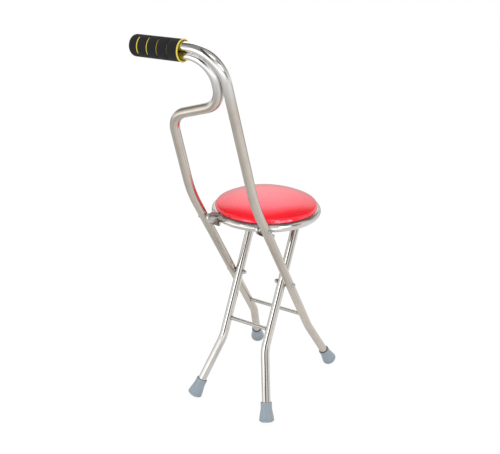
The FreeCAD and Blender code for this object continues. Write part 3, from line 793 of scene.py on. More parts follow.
def lathe(name: str, outline: Outline, sides: int) -> bpy.types.Object:
    """Turns an outline of radius and height about Z into a closed surface.

    Args:
        name: The piece's name.
        outline: From one end on the axis, or near it, to the other.
        sides: Facets round the axis.

    Returns:
        The linked object, about the origin.
    """
    rings, lengths, travelled = [], [], 0.0
    for number, point in enumerate(outline):
        if number:
            travelled += (point - outline[number - 1]).length
        lengths.append(travelled)
        rings.append([Vector((point.x * math.cos(turn), point.x * math.sin(turn), point.z))
                      for turn in (2 * math.pi * step / sides for step in range(sides))])
    widest = max(point.x for point in outline)
    return skin_rings(name, rings, lengths, 2 * math.pi * widest)


def reshape(piece: bpy.types.Object, change: Callable[[Vector], Vector]) -> None:
    """Moves every vertex of a piece through a function."""
    for vertex in piece.data.vertices:
        vertex.co = change(vertex.co)
    piece.data.update()


def place(piece: bpy.types.Object, centre: Vector, up: Vector) -> None:
    """Moves a piece's mesh so that its own Z axis stands along a direction at a point.

    Args:
        piece: The piece, about the origin.
        centre: Where the origin goes.
        up: The direction.
    """
    turn = UPWARD.rotation_difference(up).to_matrix().to_4x4()
    piece.data.transform(Matrix.Translation(centre) @ turn)
    piece.data.update()


@dataclass(frozen=True)
class Squeeze:
    """How a tube's last bend and tip are pressed into an oval."""

    wide_way: Vector
    half_width: float
    half_thickness: float

    def press(self, spoke: Vector, share: float) -> Vector:
        """Presses one spoke of the tube's round section.

        Args:
            spoke: From the centre line to the round tube's skin.
            share: How far the pressing has gone, 0 to 1.

        Returns:
            The spoke of the pressed section.
        """
        radius = spoke.length
        wide = self.wide_way * spoke.dot(self.wide_way)
        flat = spoke - wide
        return (wide * (1 + (self.half_width / radius - 1) * share)
                + flat * (1 + (self.half_thickness / radius - 1) * share))


@dataclass
class TubeRun:
    """The bent centre line of one tube: straight runs joined by tangent arcs."""

    corners: list[Vector]
    radii: list[float]
    squeeze: Squeeze | None = None
    step: float = math.radians(2.5)
    squeeze_ease: float = 0.7

    def stations(self) -> list[tuple[Vector, float]]:
        """The centre line's points, close together on the arcs.

        Returns:
            Each point with how far the pressing of the last bend has gone there.
        """
        made = [(self.corners[0].copy(), 0.0)]
        bends = zip(self.corners, self.corners[1:], self.corners[2:], self.radii)
        for before, corner, after, radius in bends:
            back, onward = (before - corner).normalized(), (after - corner).normalized()
            turn = math.pi - back.angle(onward)
            centre = corner + (back + onward).normalized() * (radius / math.cos(turn / 2))
            first = corner + back * radius * math.tan(turn / 2) - centre
            axis = onward.cross(back).normalized()
            count = max(2, math.ceil(turn / self.step))
            for number in range(count + 1):
                gone = number / count
                spot = centre + Matrix.Rotation(turn * gone, 3, axis) @ first
                curve = 1 - math.cos(gone * math.pi / 2)
                eased = self.squeeze_ease * curve + (1 - self.squeeze_ease) * gone
                made.append((spot, eased if after is self.corners[-1] else 0.0))
        made.append((self.corners[-1].copy(), 1.0))
        return made

    def sweep(self, name: str, radius: float, sides: int = 48) -> bpy.types.Object:
        """Sweeps a circle along the centre line.

        Args:
            name: The piece's name.
            radius: The tube's outer radius.
            sides: Facets round the tube.

        Returns:
            The linked tube, open at its ends.
        """
        line, shares = zip(*self.stations())
        headings = [(after - before).normalized() for before, after in zip(line, line[1:])]
        tangents = [headings[0]] + [(one + two).normalized() for one, two in zip(headings, headings[1:])]
        tangents.append(headings[-1])
        side = tangents[0].cross(ACROSS.cross(tangents[0])).normalized()
        rings, lengths, travelled = [], [], 0.0
        for number, (point, tangent, share) in enumerate(zip(line, tangents, shares)):
            if number:
                travelled += (point - line[number - 1]).length
                side = (side - tangent * side.dot(tangent)).normalized()
            other = tangent.cross(side)
            lengths.append(travelled)
            spokes = [(side * math.cos(turn) + other * math.sin(turn)) * radius
                      for turn in (2 * math.pi * step / sides for step in range(sides))]
            if self.squeeze and share:
                spokes = [self.squeeze.press(spoke, share) for spoke in spokes]
            rings.append([point + spoke for spoke in spokes])
        return skin_rings(name, rings, lengths, 2 * math.pi * radius)


# The stool

@dataclass
class SidePlan:
    """The crossed frames seen from the side, placed by the frame's own joints."""

    pivot: Vector
    hinge: Vector
    long_lean: float = math.radians(33.6)
    short_lean: float = math.radians(26.6)
    upper_lean: float = math.radians(19.8)
    elbow_rise: float = 0.2975
    long_knee_drop: float = 0.1926
    short_knee_drop: float = 0.1616
    rod_rise: float = 0.1687
    long_bar_drop: float = 0.1385
    short_bar_drop: float = 0.114
    long_x: float = 0.0785
    short_x: float = 0.0575
    tube_radius: float = 0.010
    bar_radius: float = 0.0045
    rod_radius: float = 0.005

    @classmethod
    def from_frame(cls, frame: dict) -> "SidePlan":
        """Reads the pivot and the seat hinge from the frame's joints.


        Returns:
            The plan.
        """
        places = {joint["name"]: Vector(joint["pos_m"]) for joint in frame["joints"]}
        return cls(places["leg_fold"], places["seat_fold"])

    @staticmethod
    def lean(angle: float) -> Vector:
        """An upward direction that leans away from the seat by an angle."""
        return Vector((0.0, -math.sin(angle), math.cos(angle)))

    @property
    def long_up(self) -> Vector:
        """The way up the long tubes."""
        return self.lean(self.long_lean)

    @property
    def short_up(self) -> Vector:
        """The way up the short legs."""
        return self.lean(-self.short_lean)

    @property
    def upper_up(self) -> Vector:
        """The way up the tubes above their elbows."""
        return self.lean(self.upper_lean)

    @property
    def elbow(self) -> Vector:
        """Where the long tubes bend above the hinge."""
        return self.pivot + self.long_up * self.elbow_rise

    def weld(self, up: Vector, drop: float, bar_radius: float, tube_x: float) -> "WeldBead":
        """The bead round a bar that meets a tube at a drop below the pivot."""
        return WeldBead(self.pivot - up * drop, up, bar_radius, self.tube_radius, tube_x)


@dataclass
class RubberFoot:
    """A flared rubber foot on a leg's end, its heel pressed flat on the floor."""

    knee: Vector
    lean: float
    splay: float
    length: float = 0.045
    dimple_radius: float = 0.0070
    dimple: float = 0.0008
    dimple_rounds: Pair = (0.0006, 0.0005)
    sole_radius: float = 0.013
    sole_round: float = 0.0022
    sole_bevel: float = 0.003
    base_radius: float = 0.0174
    base_round: float = 0.0024
    base_height: float = 0.0105
    band_height: float = 0.0062
    band_step: float = 0.0007
    band_rounds: Pair = (0.0007, 0.0004)
    waist_round: float = 0.010
    neck_radius: float = 0.0131
    neck_height: float = 0.031
    neck_round: float = 0.024
    rim: float = 0.0006
    bore: float = 0.0101
    bore_depth: float = 0.012
    floor_thickness: float = 0.008
    disc: float = 0.002
    pressed: float = 0.001
    sides: int = 56

    @property
    def up(self) -> Vector:
        """The way from the floor up the leg's end."""
        return Vector((-math.tan(self.splay), -math.tan(self.lean), 1.0)).normalized()

    @property
    def end(self) -> Vector:
        """The middle of the sole."""
        tilt = self.up.angle(UPWARD)
        rise = max(self.sole_radius * math.sin(tilt),
                   self.base_radius * math.sin(tilt) - self.sole_bevel * math.cos(tilt)) - self.pressed
        return self.knee + self.up * ((rise - self.knee.z) / self.up.z)

    @property
    def tube_stop(self) -> Vector:
        """Where the tube's end stands in the foot."""
        return self.end + self.up * (self.floor_thickness + self.disc)

    def build(self, name: str, side: Side) -> bpy.types.Object:
        """Builds the foot on one side.

        Args:
            name: The piece's name.
            side: The side it stands on.

        Returns:
            The foot.
        """
        waist = self.base_radius - self.band_step
        outline = round_corners([
            (0.0, self.dimple, 0.0),
            (self.dimple_radius, self.dimple, self.dimple_rounds[0]),
            (self.dimple_radius + self.dimple, 0.0, self.dimple_rounds[1]),
            (self.sole_radius, 0.0, self.sole_round),
            (self.base_radius, self.sole_bevel, self.base_round),
            (self.base_radius, self.band_height, self.band_rounds[0]),
            (waist, self.band_height + self.band_step, self.band_rounds[1]),
            (waist, self.base_height, self.waist_round),
            (self.neck_radius, self.neck_height, self.neck_round),
            (self.neck_radius, self.length, self.rim),
            (self.bore + self.rim, self.length, self.rim),
            (self.bore, self.length - self.bore_depth, 0.0),
        ])
        foot = lathe(name, outline, self.sides)
        place(foot, self.end, self.up)
        reshape(foot, lambda point: Vector((point.x * side.value, point.y, max(point.z, 0.0))))
        if side is Side.LEFT:
            foot.data.flip_normals()
        return foot


@dataclass
class BoltHead:
    """A low domed bolt head on the outside of a tube."""

    centre: Vector
    outer_x: float
    diameter: float
    height: float = 0.0036
    shank_radius: float = 0.0030
    shank_taper: float = 0.0002
    shank_depth: float = 0.0012
    bevel: float = 0.0004
    bevel_round: float = 0.0003
    edge_height: float = 0.0006
    edge_round: float = 0.0008
    shoulder_shares: Pair = (0.86, 0.66)
    shoulder_round: float = 0.0024
    crown_share: float = 0.45
    crown_round: float = 0.004
    round_steps: int = 6
    sides: int = 40

    def build(self, name: str, side: Side) -> bpy.types.Object:
        """Builds the head on one side.

        Args:
            name: The piece's name.
            side: The side that it faces.

        Returns:
            The head.
        """
        radius = self.diameter / 2
        across, upward = self.shoulder_shares
        outline = round_corners([
            (self.shank_radius - self.shank_taper, -self.shank_depth, 0.0),
            (self.shank_radius, -self.bevel, 0.0),
            (radius - self.bevel, -self.bevel / 2, self.bevel_round),
            (radius, self.edge_height, self.edge_round),
            (radius * across, self.height * upward, self.shoulder_round),
            (radius * self.crown_share, self.height, self.crown_round),
            (0.0, self.height, 0.0),
        ], self.round_steps)
        head = lathe(name, outline, self.sides)
        place(head, Vector((self.outer_x * side.value, self.centre.y, self.centre.z)), ACROSS * side.value)
        return head


@dataclass
class WeldBead:
    """A rippled bead round the end of a bar that meets a tube square on."""

    centre: Vector
    tube_up: Vector
    bar_radius: float
    tube_radius: float
    tube_x: float
    bead: float = 0.0009
    ripple: float = 0.12
    ripples: int = 22
    ripple_steps: int = 6
    facets: int = 10

    def build(self, name: str, side: Side) -> bpy.types.Object:
        """Builds the bead on one side.

        Args:
            name: The piece's name.
            side: The side of the tube that the bar meets.

        Returns:
            The bead.
        """
        square = ACROSS.cross(self.tube_up).normalized()
        toward = ACROSS * -side.value
        steps = self.ripples * self.ripple_steps
        rings, lengths = [], []
        for number in range(steps + 1):
            turn = 2 * math.pi * number / steps
            over, along = math.sin(turn), math.cos(turn)
            outward = self.tube_up * along + square * over
            reach = self.tube_x - math.sqrt(self.tube_radius ** 2 - (self.bar_radius * over) ** 2)
            spot = self.centre + outward * self.bar_radius
            spot.x = side.value * reach
            outward.normalize()
            swell = self.bead * (1.0 + self.ripple * math.cos(self.ripples * turn))
            rings.append([spot + (outward * math.cos(spin) + toward * math.sin(spin)) * swell
                          for spin in (2 * math.pi * facet / self.facets for facet in range(self.facets))])
            lengths.append(self.bar_radius * turn)
        return skin_rings(name, rings, lengths, 2 * math.pi * self.bead)


@dataclass
class FoamGrip:
    """The round grip: a black foam skin over a yellow core that shows in slots and at the mouth."""

    start: Vector
    wardrobe: Wardrobe
    length: float = 0.114
    radius: float = 0.0205
    skin: float = 0.0011
    end_round: float = 0.009
    end_wall: float = 0.005
    bore: float = 0.0176
    mouth_flare: float = 0.0005
    mouth_shares: Pair = (2.0, 1.6)
    mouth_depths: Pair = (0.009, 0.013)
    mouth_round: float = 0.002
    lip_length: float = 0.0024
    lip_height: float = 0.0008
    lip_gap: float = 0.0002
    lip_setbacks: Pair = (0.0004, 0.0006)
    lip_rounds: tuple[float, ...] = (0.0003, 0.0004, 0.0011, 0.0009, 0.0008)
    skin_round: float = 0.0008
    slot_first: float = 0.0221
    slot_pitch: float = 0.0223
    slot_height: float = 0.0375
    slot_lean: float = math.radians(14.0)
    slot_widths: tuple[float, ...] = (0.0032, 0.0026, 0.0016, 0.0010)
    slot_squareness: int = 4
    slot_end_share: float = 0.35
    slot_dip: float = 0.00008
    slot_wall_share: float = 0.35
    slot_sunk: float = 0.0003
    slot_spreads: tuple[float, ...] = (1.5, 1.2, 1.0, 0.82)
    sides: int = 144
    cover_steps: int = 10
    core_sides: int = 96
    core_steps: int = 6

    def slot_reach(self, turn: float) -> float:
        """How open the slots are at an angle round the grip.

        Args:
            turn: The angle from the upward way.

        Returns:
            1 along the middle of a slot, 0 past its ends.
        """
        half = math.asin(self.slot_height / 2 / self.radius)
        away = min(abs(abs(turn) - math.pi / 2), math.pi / 2)
        return math.sqrt(max(0.0, 1 - (away / half) ** self.slot_squareness))

    def skin_rows(self) -> list[tuple[float, float, float]]:
        """The skin's rows from its closed end to its mouth.

        Returns:
            Each row's distance along, radius and half width of the slot edge that it follows.
        """
        mouth = self.length - self.lip_length
        crown = round_corners([(0.0, 0.0, 0.0), (self.radius, 0.0, self.end_round),
                               (self.radius, mouth, self.skin_round),
                               (self.radius - self.skin, mouth, 0.0)], self.cover_steps)
        rows = [(point.z, point.x, 0.0) for point in crown]
        cap = max(number for number, row in enumerate(rows) if row[0] < self.end_round + TINY) + 1
        depths = (0.0, self.slot_dip, self.skin * self.slot_wall_share, self.skin + self.slot_sunk)
        wall = list(zip(depths, self.slot_spreads))
        slots = []
        for number, width in enumerate(self.slot_widths):
            centre = self.slot_first + number * self.slot_pitch
            for side, points in ((-1, wall), (1, wall[::-1])):
                slots += [(centre, self.radius - depth, side * spread * width / 2)
                          for depth, spread in points]
            if number + 1 < len(self.slot_widths):
                slots.append((centre + self.slot_pitch / 2, self.radius, 0.0))
        return rows[:cap] + slots + rows[cap:]

    def cover(self) -> bpy.types.Object:
        """Builds the black skin with its slots.

        Returns:
            The skin, about the origin.
        """
        turns = [2 * math.pi * step / self.sides - math.pi for step in range(self.sides)]
        rings, lengths = [], []
        for along, radius, half in self.skin_rows():
            ring = []
            for turn in turns:
                reach = self.slot_reach(turn) if half else 1.0
                out = self.radius + (radius - self.radius) * reach if half else radius
                far = along + half * (self.slot_end_share + (1 - self.slot_end_share) * reach)
                ring.append(Vector((out * math.cos(turn), out * math.sin(turn), far)))
            rings.append(ring)
            lengths.append(along + half)
        return skin_rings("grip_foam_cover", rings, lengths, 2 * math.pi * self.radius)

    def liner(self) -> bpy.types.Object:
        """Builds the yellow core with its lip and its open mouth.

        Returns:
            The core, about the origin.
        """
        inner, lip = self.radius - self.skin, self.radius + self.lip_height
        mouth = self.length - self.lip_length
        seam, foot, crest, brim, throat = self.lip_rounds
        outline = round_corners([
            (inner, self.end_round, 0.0),
            (inner, mouth - self.lip_gap, seam),
            (lip - self.lip_setbacks[0], mouth, foot),
            (lip, self.length - self.lip_length / 2, crest),
            (lip - self.lip_setbacks[1], self.length, brim),
            (self.bore + self.mouth_shares[0] * self.mouth_flare, self.length, throat),
            (self.bore + self.mouth_shares[1] * self.mouth_flare, self.length - self.mouth_depths[0],
             self.mouth_round),
            (self.bore, self.length - self.mouth_depths[1], self.mouth_round),
            (self.bore, self.end_wall, 0.0),
            (0.0, self.end_wall, 0.0),
        ], self.core_steps)
        return lathe("grip_foam_liner", outline, self.core_sides)

    def build(self) -> None:
        """Builds both pieces, lays them along the handle and dresses them."""
        up = Vector((0.0, math.sin(self.slot_lean), math.cos(self.slot_lean)))
        turn = Matrix((up, ACROSS.cross(up), ACROSS)).transposed().to_4x4()
        for piece, slot, node in ((self.cover(), Slot.BLACK_FOAM, "foam_grip"),
                                  (self.liner(), Slot.YELLOW_FOAM, "grip_core")):
            piece.data.transform(Matrix.Translation(self.start) @ turn)
            piece.data.update()
            self.wardrobe.finish(piece, Body.LONG_FRAME, slot, node)


@dataclass
class LongFrame:
    """The two long tubes with their feet, bar welds, bolt heads and handle grip."""

    plan: SidePlan
    wardrobe: Wardrobe
    foot_lean: float = math.radians(30.4)
    foot_splay: float = math.radians(13.8)
    knee_radius: float = 0.100
    elbow_radius: float = 0.300
    handle_rise: float = 0.3445
    handle_half_width: float = 0.0715
    handle_radius: float = 0.067
    inner_radius: float = 0.051
    grip_start: float = -0.120
    grip_rise: float = 0.33535
    nested: float = 0.0165
    tube_gap: float = 0.0003
    jog_rise: float = 0.190
    jog_half_width: float = 0.0745
    jog_step: float = 0.041
    jog_radius: float = 0.051
    tip_x: float = -0.115
    squeezed_half_width: float = 0.0112
    squeezed_half_thickness: float = 0.0081
    pivot_head: float = 0.011
    hinge_head: float = 0.012

    @property
    def foot(self) -> RubberFoot:
        """The foot of a long tube."""
        knee = self.plan.pivot - self.plan.long_up * self.plan.long_knee_drop + ACROSS * self.plan.long_x
        return RubberFoot(knee, self.foot_lean, self.foot_splay)

    def upper(self, across: float, rise: float) -> Vector:
        """A point of the upper tubes' plane, across from the middle and up from the elbow."""
        return self.plan.elbow + self.plan.upper_up * rise + ACROSS * across

    def runs(self) -> dict[str, TubeRun]:
        """The centre lines of both tubes.

        Returns:
            The runs by the node they stand for.
        """
        plan = self.plan
        low_end = [self.foot.tube_stop, self.foot.knee, plan.elbow + ACROSS * plan.long_x]
        far = self.handle_half_width - 2 * plan.tube_radius - self.tube_gap
        inner_rise = self.handle_rise - self.nested
        back = ACROSS.cross(-plan.upper_up)
        squeeze = Squeeze(back, self.squeezed_half_width, self.squeezed_half_thickness)
        right = TubeRun(
            low_end + [self.upper(self.handle_half_width, self.handle_rise),
                       self.upper(self.tip_x, self.handle_rise)],
            [self.knee_radius, self.elbow_radius, self.handle_radius], squeeze)
        jog = [self.upper(-self.jog_half_width, self.jog_rise),
               self.upper(far, self.jog_rise + self.jog_step)]
        left = TubeRun(
            [Side.LEFT.mirror @ point for point in low_end] + jog
            + [self.upper(far, inner_rise), self.upper(self.tip_x, inner_rise)],
            [self.knee_radius, self.elbow_radius, self.jog_radius, self.jog_radius, self.inner_radius],
            squeeze)
        return {"right_cane_tube": right, "left_cane_tube": left}

    def build(self) -> None:
        """Builds and dresses the frame's own pieces."""
        plan, finish = self.plan, self.wardrobe.finish
        for node, run in self.runs().items():
            finish(run.sweep(node + "_skin", plan.tube_radius), Body.LONG_FRAME, Slot.SATIN_STEEL, node)
        FoamGrip(self.upper(self.grip_start, self.grip_rise), self.wardrobe).build()
        bead = plan.weld(plan.long_up, plan.long_bar_drop, plan.bar_radius, plan.long_x)
        bolts = (("pivot", plan.pivot, self.pivot_head), ("hinge", plan.hinge, self.hinge_head))
        for side in Side:
            foot = self.foot.build(f"rear_foot_{side.word}", side)
            finish(foot, Body.LONG_FRAME, Slot.GREY_RUBBER, "long_feet")
            weld = bead.build(f"long_bar_weld_{side.word}", side)
            finish(weld, Body.LONG_FRAME, Slot.SATIN_STEEL, trim=Trim.WELD)
            for place_name, centre, diameter in bolts:
                head = BoltHead(centre, plan.long_x + plan.tube_radius, diameter)
                dome = head.build(f"{place_name}_bolt_head_{side.word}", side)
                finish(dome, Body.LONG_FRAME, Slot.ZINC_STEEL, trim=Trim.BOLT)


@dataclass
class ShortFrame:
    """The two short legs with their feet and the welds of their crossbar and rod."""

    plan: SidePlan
    wardrobe: Wardrobe
    foot_lean: float = math.radians(-23.3)
    foot_splay: float = math.radians(16.9)
    knee_radius: float = 0.100
    tip_above_rod: float = 0.005

    @property
    def foot(self) -> RubberFoot:
        """The foot of a short leg."""
        knee = self.plan.pivot - self.plan.short_up * self.plan.short_knee_drop + ACROSS * self.plan.short_x
        return RubberFoot(knee, self.foot_lean, self.foot_splay)

    def build(self) -> None:
        """Builds and dresses the frame's own pieces."""
        plan, finish = self.plan, self.wardrobe.finish
        tip = plan.pivot + plan.short_up * (plan.rod_rise + self.tip_above_rod) + ACROSS * plan.short_x
        beads = {"short_bar": plan.weld(plan.short_up, plan.short_bar_drop, plan.bar_radius, plan.short_x),
                 "rod": plan.weld(plan.short_up, -plan.rod_rise, plan.rod_radius, plan.short_x)}
        for side in Side:
            corners = [side.mirror @ point for point in (self.foot.tube_stop, self.foot.knee, tip)]
            run = TubeRun(corners, [self.knee_radius])
            leg = run.sweep(f"{side.word}_short_leg_skin", plan.tube_radius)
            finish(leg, Body.SHORT_FRAME, Slot.BRIGHT_STEEL, f"{side.word}_short_leg")
            rubber = self.foot.build(f"front_foot_{side.word}", side)
            finish(rubber, Body.SHORT_FRAME, Slot.GREY_RUBBER, "short_feet")
            for name, bead in beads.items():
                weld = bead.build(f"{name}_weld_{side.word}", side)
                finish(weld, Body.SHORT_FRAME, Slot.BRIGHT_STEEL, trim=Trim.WELD)


@dataclass
class PaddedSeat:
    """The round padded seat: vinyl pulled over foam and folded under the board."""

    wardrobe: Wardrobe
    edge_radius: float = 0.0092
    tuck_radius: float = 0.0013
    wall_lean: float = math.radians(26.0)
    wall_height: float = 0.0036
    crown_rise: float = 0.0358
    hem: float = 0.013
    hem_fold_share: float = 0.6
    cover: float = 0.001
    proud: float = 0.001
    sag: float = 0.0006
    sag_scale: float = 11.0
    rim_width: float = 0.006
    pinch: float = 0.0004
    gather: float = 0.00010
    gathers: Pair = (46, 71)
    finer_share: float = 0.6
    finer_shift: float = 1.3
    sides: int = 200
    tuck_steps: int = 8
    wall_steps: int = 3
    edge_steps: int = 14
    crown_steps: int = 46

    def outline(self, reach: float, base: float) -> Outline:
        """The section from the hem's inner edge round to the middle of the crown.

        Args:
            reach: The cushion's radius.
            base: The height of its underside.

        Returns:
            The section's points.
        """
        tuck, edge, square = self.tuck_radius, self.edge_radius, math.pi / 2
        wall = square - self.wall_lean
        waist = base + tuck
        corner_in = (reach - tuck - (edge - tuck) * math.cos(self.wall_lean)
                     - self.wall_height * math.sin(self.wall_lean))
        corner_up = (waist - (edge - tuck) * math.sin(self.wall_lean)
                     + self.wall_height * math.cos(self.wall_lean))
        rise = base + self.crown_rise - edge - corner_up
        crown = edge + (corner_in ** 2 + rise ** 2) / (2 * rise)
        centre = base + self.crown_rise - crown
        lean = math.atan2(corner_in, corner_up - centre)
        hem = [Vector((reach - self.hem - tuck, 0.0, base + self.cover)),
               Vector((reach - self.hem, 0.0, base)),
               Vector((reach - self.hem * self.hem_fold_share, 0.0, base))]
        return (hem + arc((reach - tuck, waist), tuck, math.pi, square, self.tuck_steps)
                + arc((reach - tuck, waist), tuck, square, wall, self.wall_steps)[1:]
                + arc((corner_in, corner_up), edge, wall, lean, self.edge_steps)
                + arc((0.0, centre), crown, lean, 0.0, self.crown_steps)[1:])

    def build(self) -> bpy.types.Object:
        """Builds the cushion over the frame's plain one.

        Returns:
            The cushion.
        """
        low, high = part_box("seat_cushion")
        middle = (low + high) / 2
        reach = (high.x - low.x) / 2 + self.proud
        cushion = lathe("seat_vinyl_cushion", self.outline(reach, low.z), self.sides)
        place(cushion, Vector((0.0, middle.y, 0.0)), UPWARD)
        coarse, fine = self.gathers

        def settle(point: Vector) -> Vector:
            """Adds the slight unevenness of foam under stretched vinyl, and the gathers at its rim.

            Args:
                point: A point of the smooth cushion.

            Returns:
                The point on the uneven one.
            """
            out = Vector((point.x, point.y - middle.y, 0.0))
            crown = max(0.0, min(1.0, (point.z - low.z) / (high.z - low.z)))
            rim = math.exp(-((out.length - reach) / self.rim_width) ** 2) * (1 - crown)
            turn = math.atan2(out.y, out.x)
            folds = math.sin(coarse * turn) + self.finer_share * math.sin(fine * turn + self.finer_shift)
            away = out.normalized() if out.length > TINY else Vector()
            sag = self.sag * noise.noise(point * self.sag_scale) * crown
            return point + UPWARD * sag + away * ((self.gather * folds - self.pinch) * rim)

        reshape(cushion, settle)
        self.wardrobe.finish(cushion, Body.SEAT, Slot.RED_VINYL, "seat_cushion")
        return cushion


# Studio

@dataclass(frozen=True)
class Sweep:
    """A level that changes along one direction of the floor."""

    direction: Pair
    reach: Pair
    onto: Pair = (0.0, 1.0)

    def level(self, sketch: Sketch) -> Socket:
        """Adds the level's nodes.

        Args:
            sketch: The floor's node sketch.

        Returns:
            The level's socket.
        """
        spot = sketch.add("ShaderNodeTexCoord").outputs["Object"]
        along = sketch.add("ShaderNodeVectorMath", spot, (*self.direction, 0.0), operation="DOT_PRODUCT")
        return sketch.remap(along.outputs["Value"], self.reach, self.onto)


@dataclass(frozen=True)
class Lamp:
    """A rectangular soft light aimed at the stool's middle, or a glint that lights one piece."""

    name: str
    direction: tuple[float, float, float]
    size: Pair
    power: float
    glint: bool = False
    distance: float = 2.2

    def build(self, centre: Vector, piece: bpy.types.Object) -> None:
        """Builds the lamp.

        Args:
            centre: The stool's middle.
            piece: The one piece that a glint lights.
        """
        data = bpy.data.lights.new(self.name, "AREA")
        data.shape, data.energy = "RECTANGLE", self.power
        data.size, data.size_y = self.size
        lamp = bpy.data.objects.new(self.name, data)
        bpy.context.scene.collection.objects.link(lamp)
        away = Vector(self.direction).normalized()
        lamp.location = centre + away * self.distance
        lamp.rotation_mode = "QUATERNION"
        lamp.rotation_quaternion = (-away).to_track_quat("-Z", "Y")
        lamp.visible_camera = False
        if self.glint:
            lit = bpy.data.collections.new(self.name)
            lit.objects.link(piece)
            lamp.light_linking.receiver_collection = lit


FROM_RIGHT = (0.85, -0.28, 0.45)
FROM_LEFT = (-0.20, -0.94, 0.28)
FROM_ABOVE = (0.508, -0.310, 0.806)

LAMPS = (
    Lamp("right_softbox", FROM_RIGHT, (0.9, 0.6), 3.0),
    Lamp("left_softbox", FROM_LEFT, (0.95, 0.8), 4.0),
    Lamp("high_softbox", FROM_ABOVE, (0.7, 0.4), 2.5),
    Lamp("right_glint", FROM_RIGHT, (1.2, 0.6), 11.0, glint=True),
    Lamp("left_glint", FROM_LEFT, (0.95, 0.6), 8.0, glint=True),
)


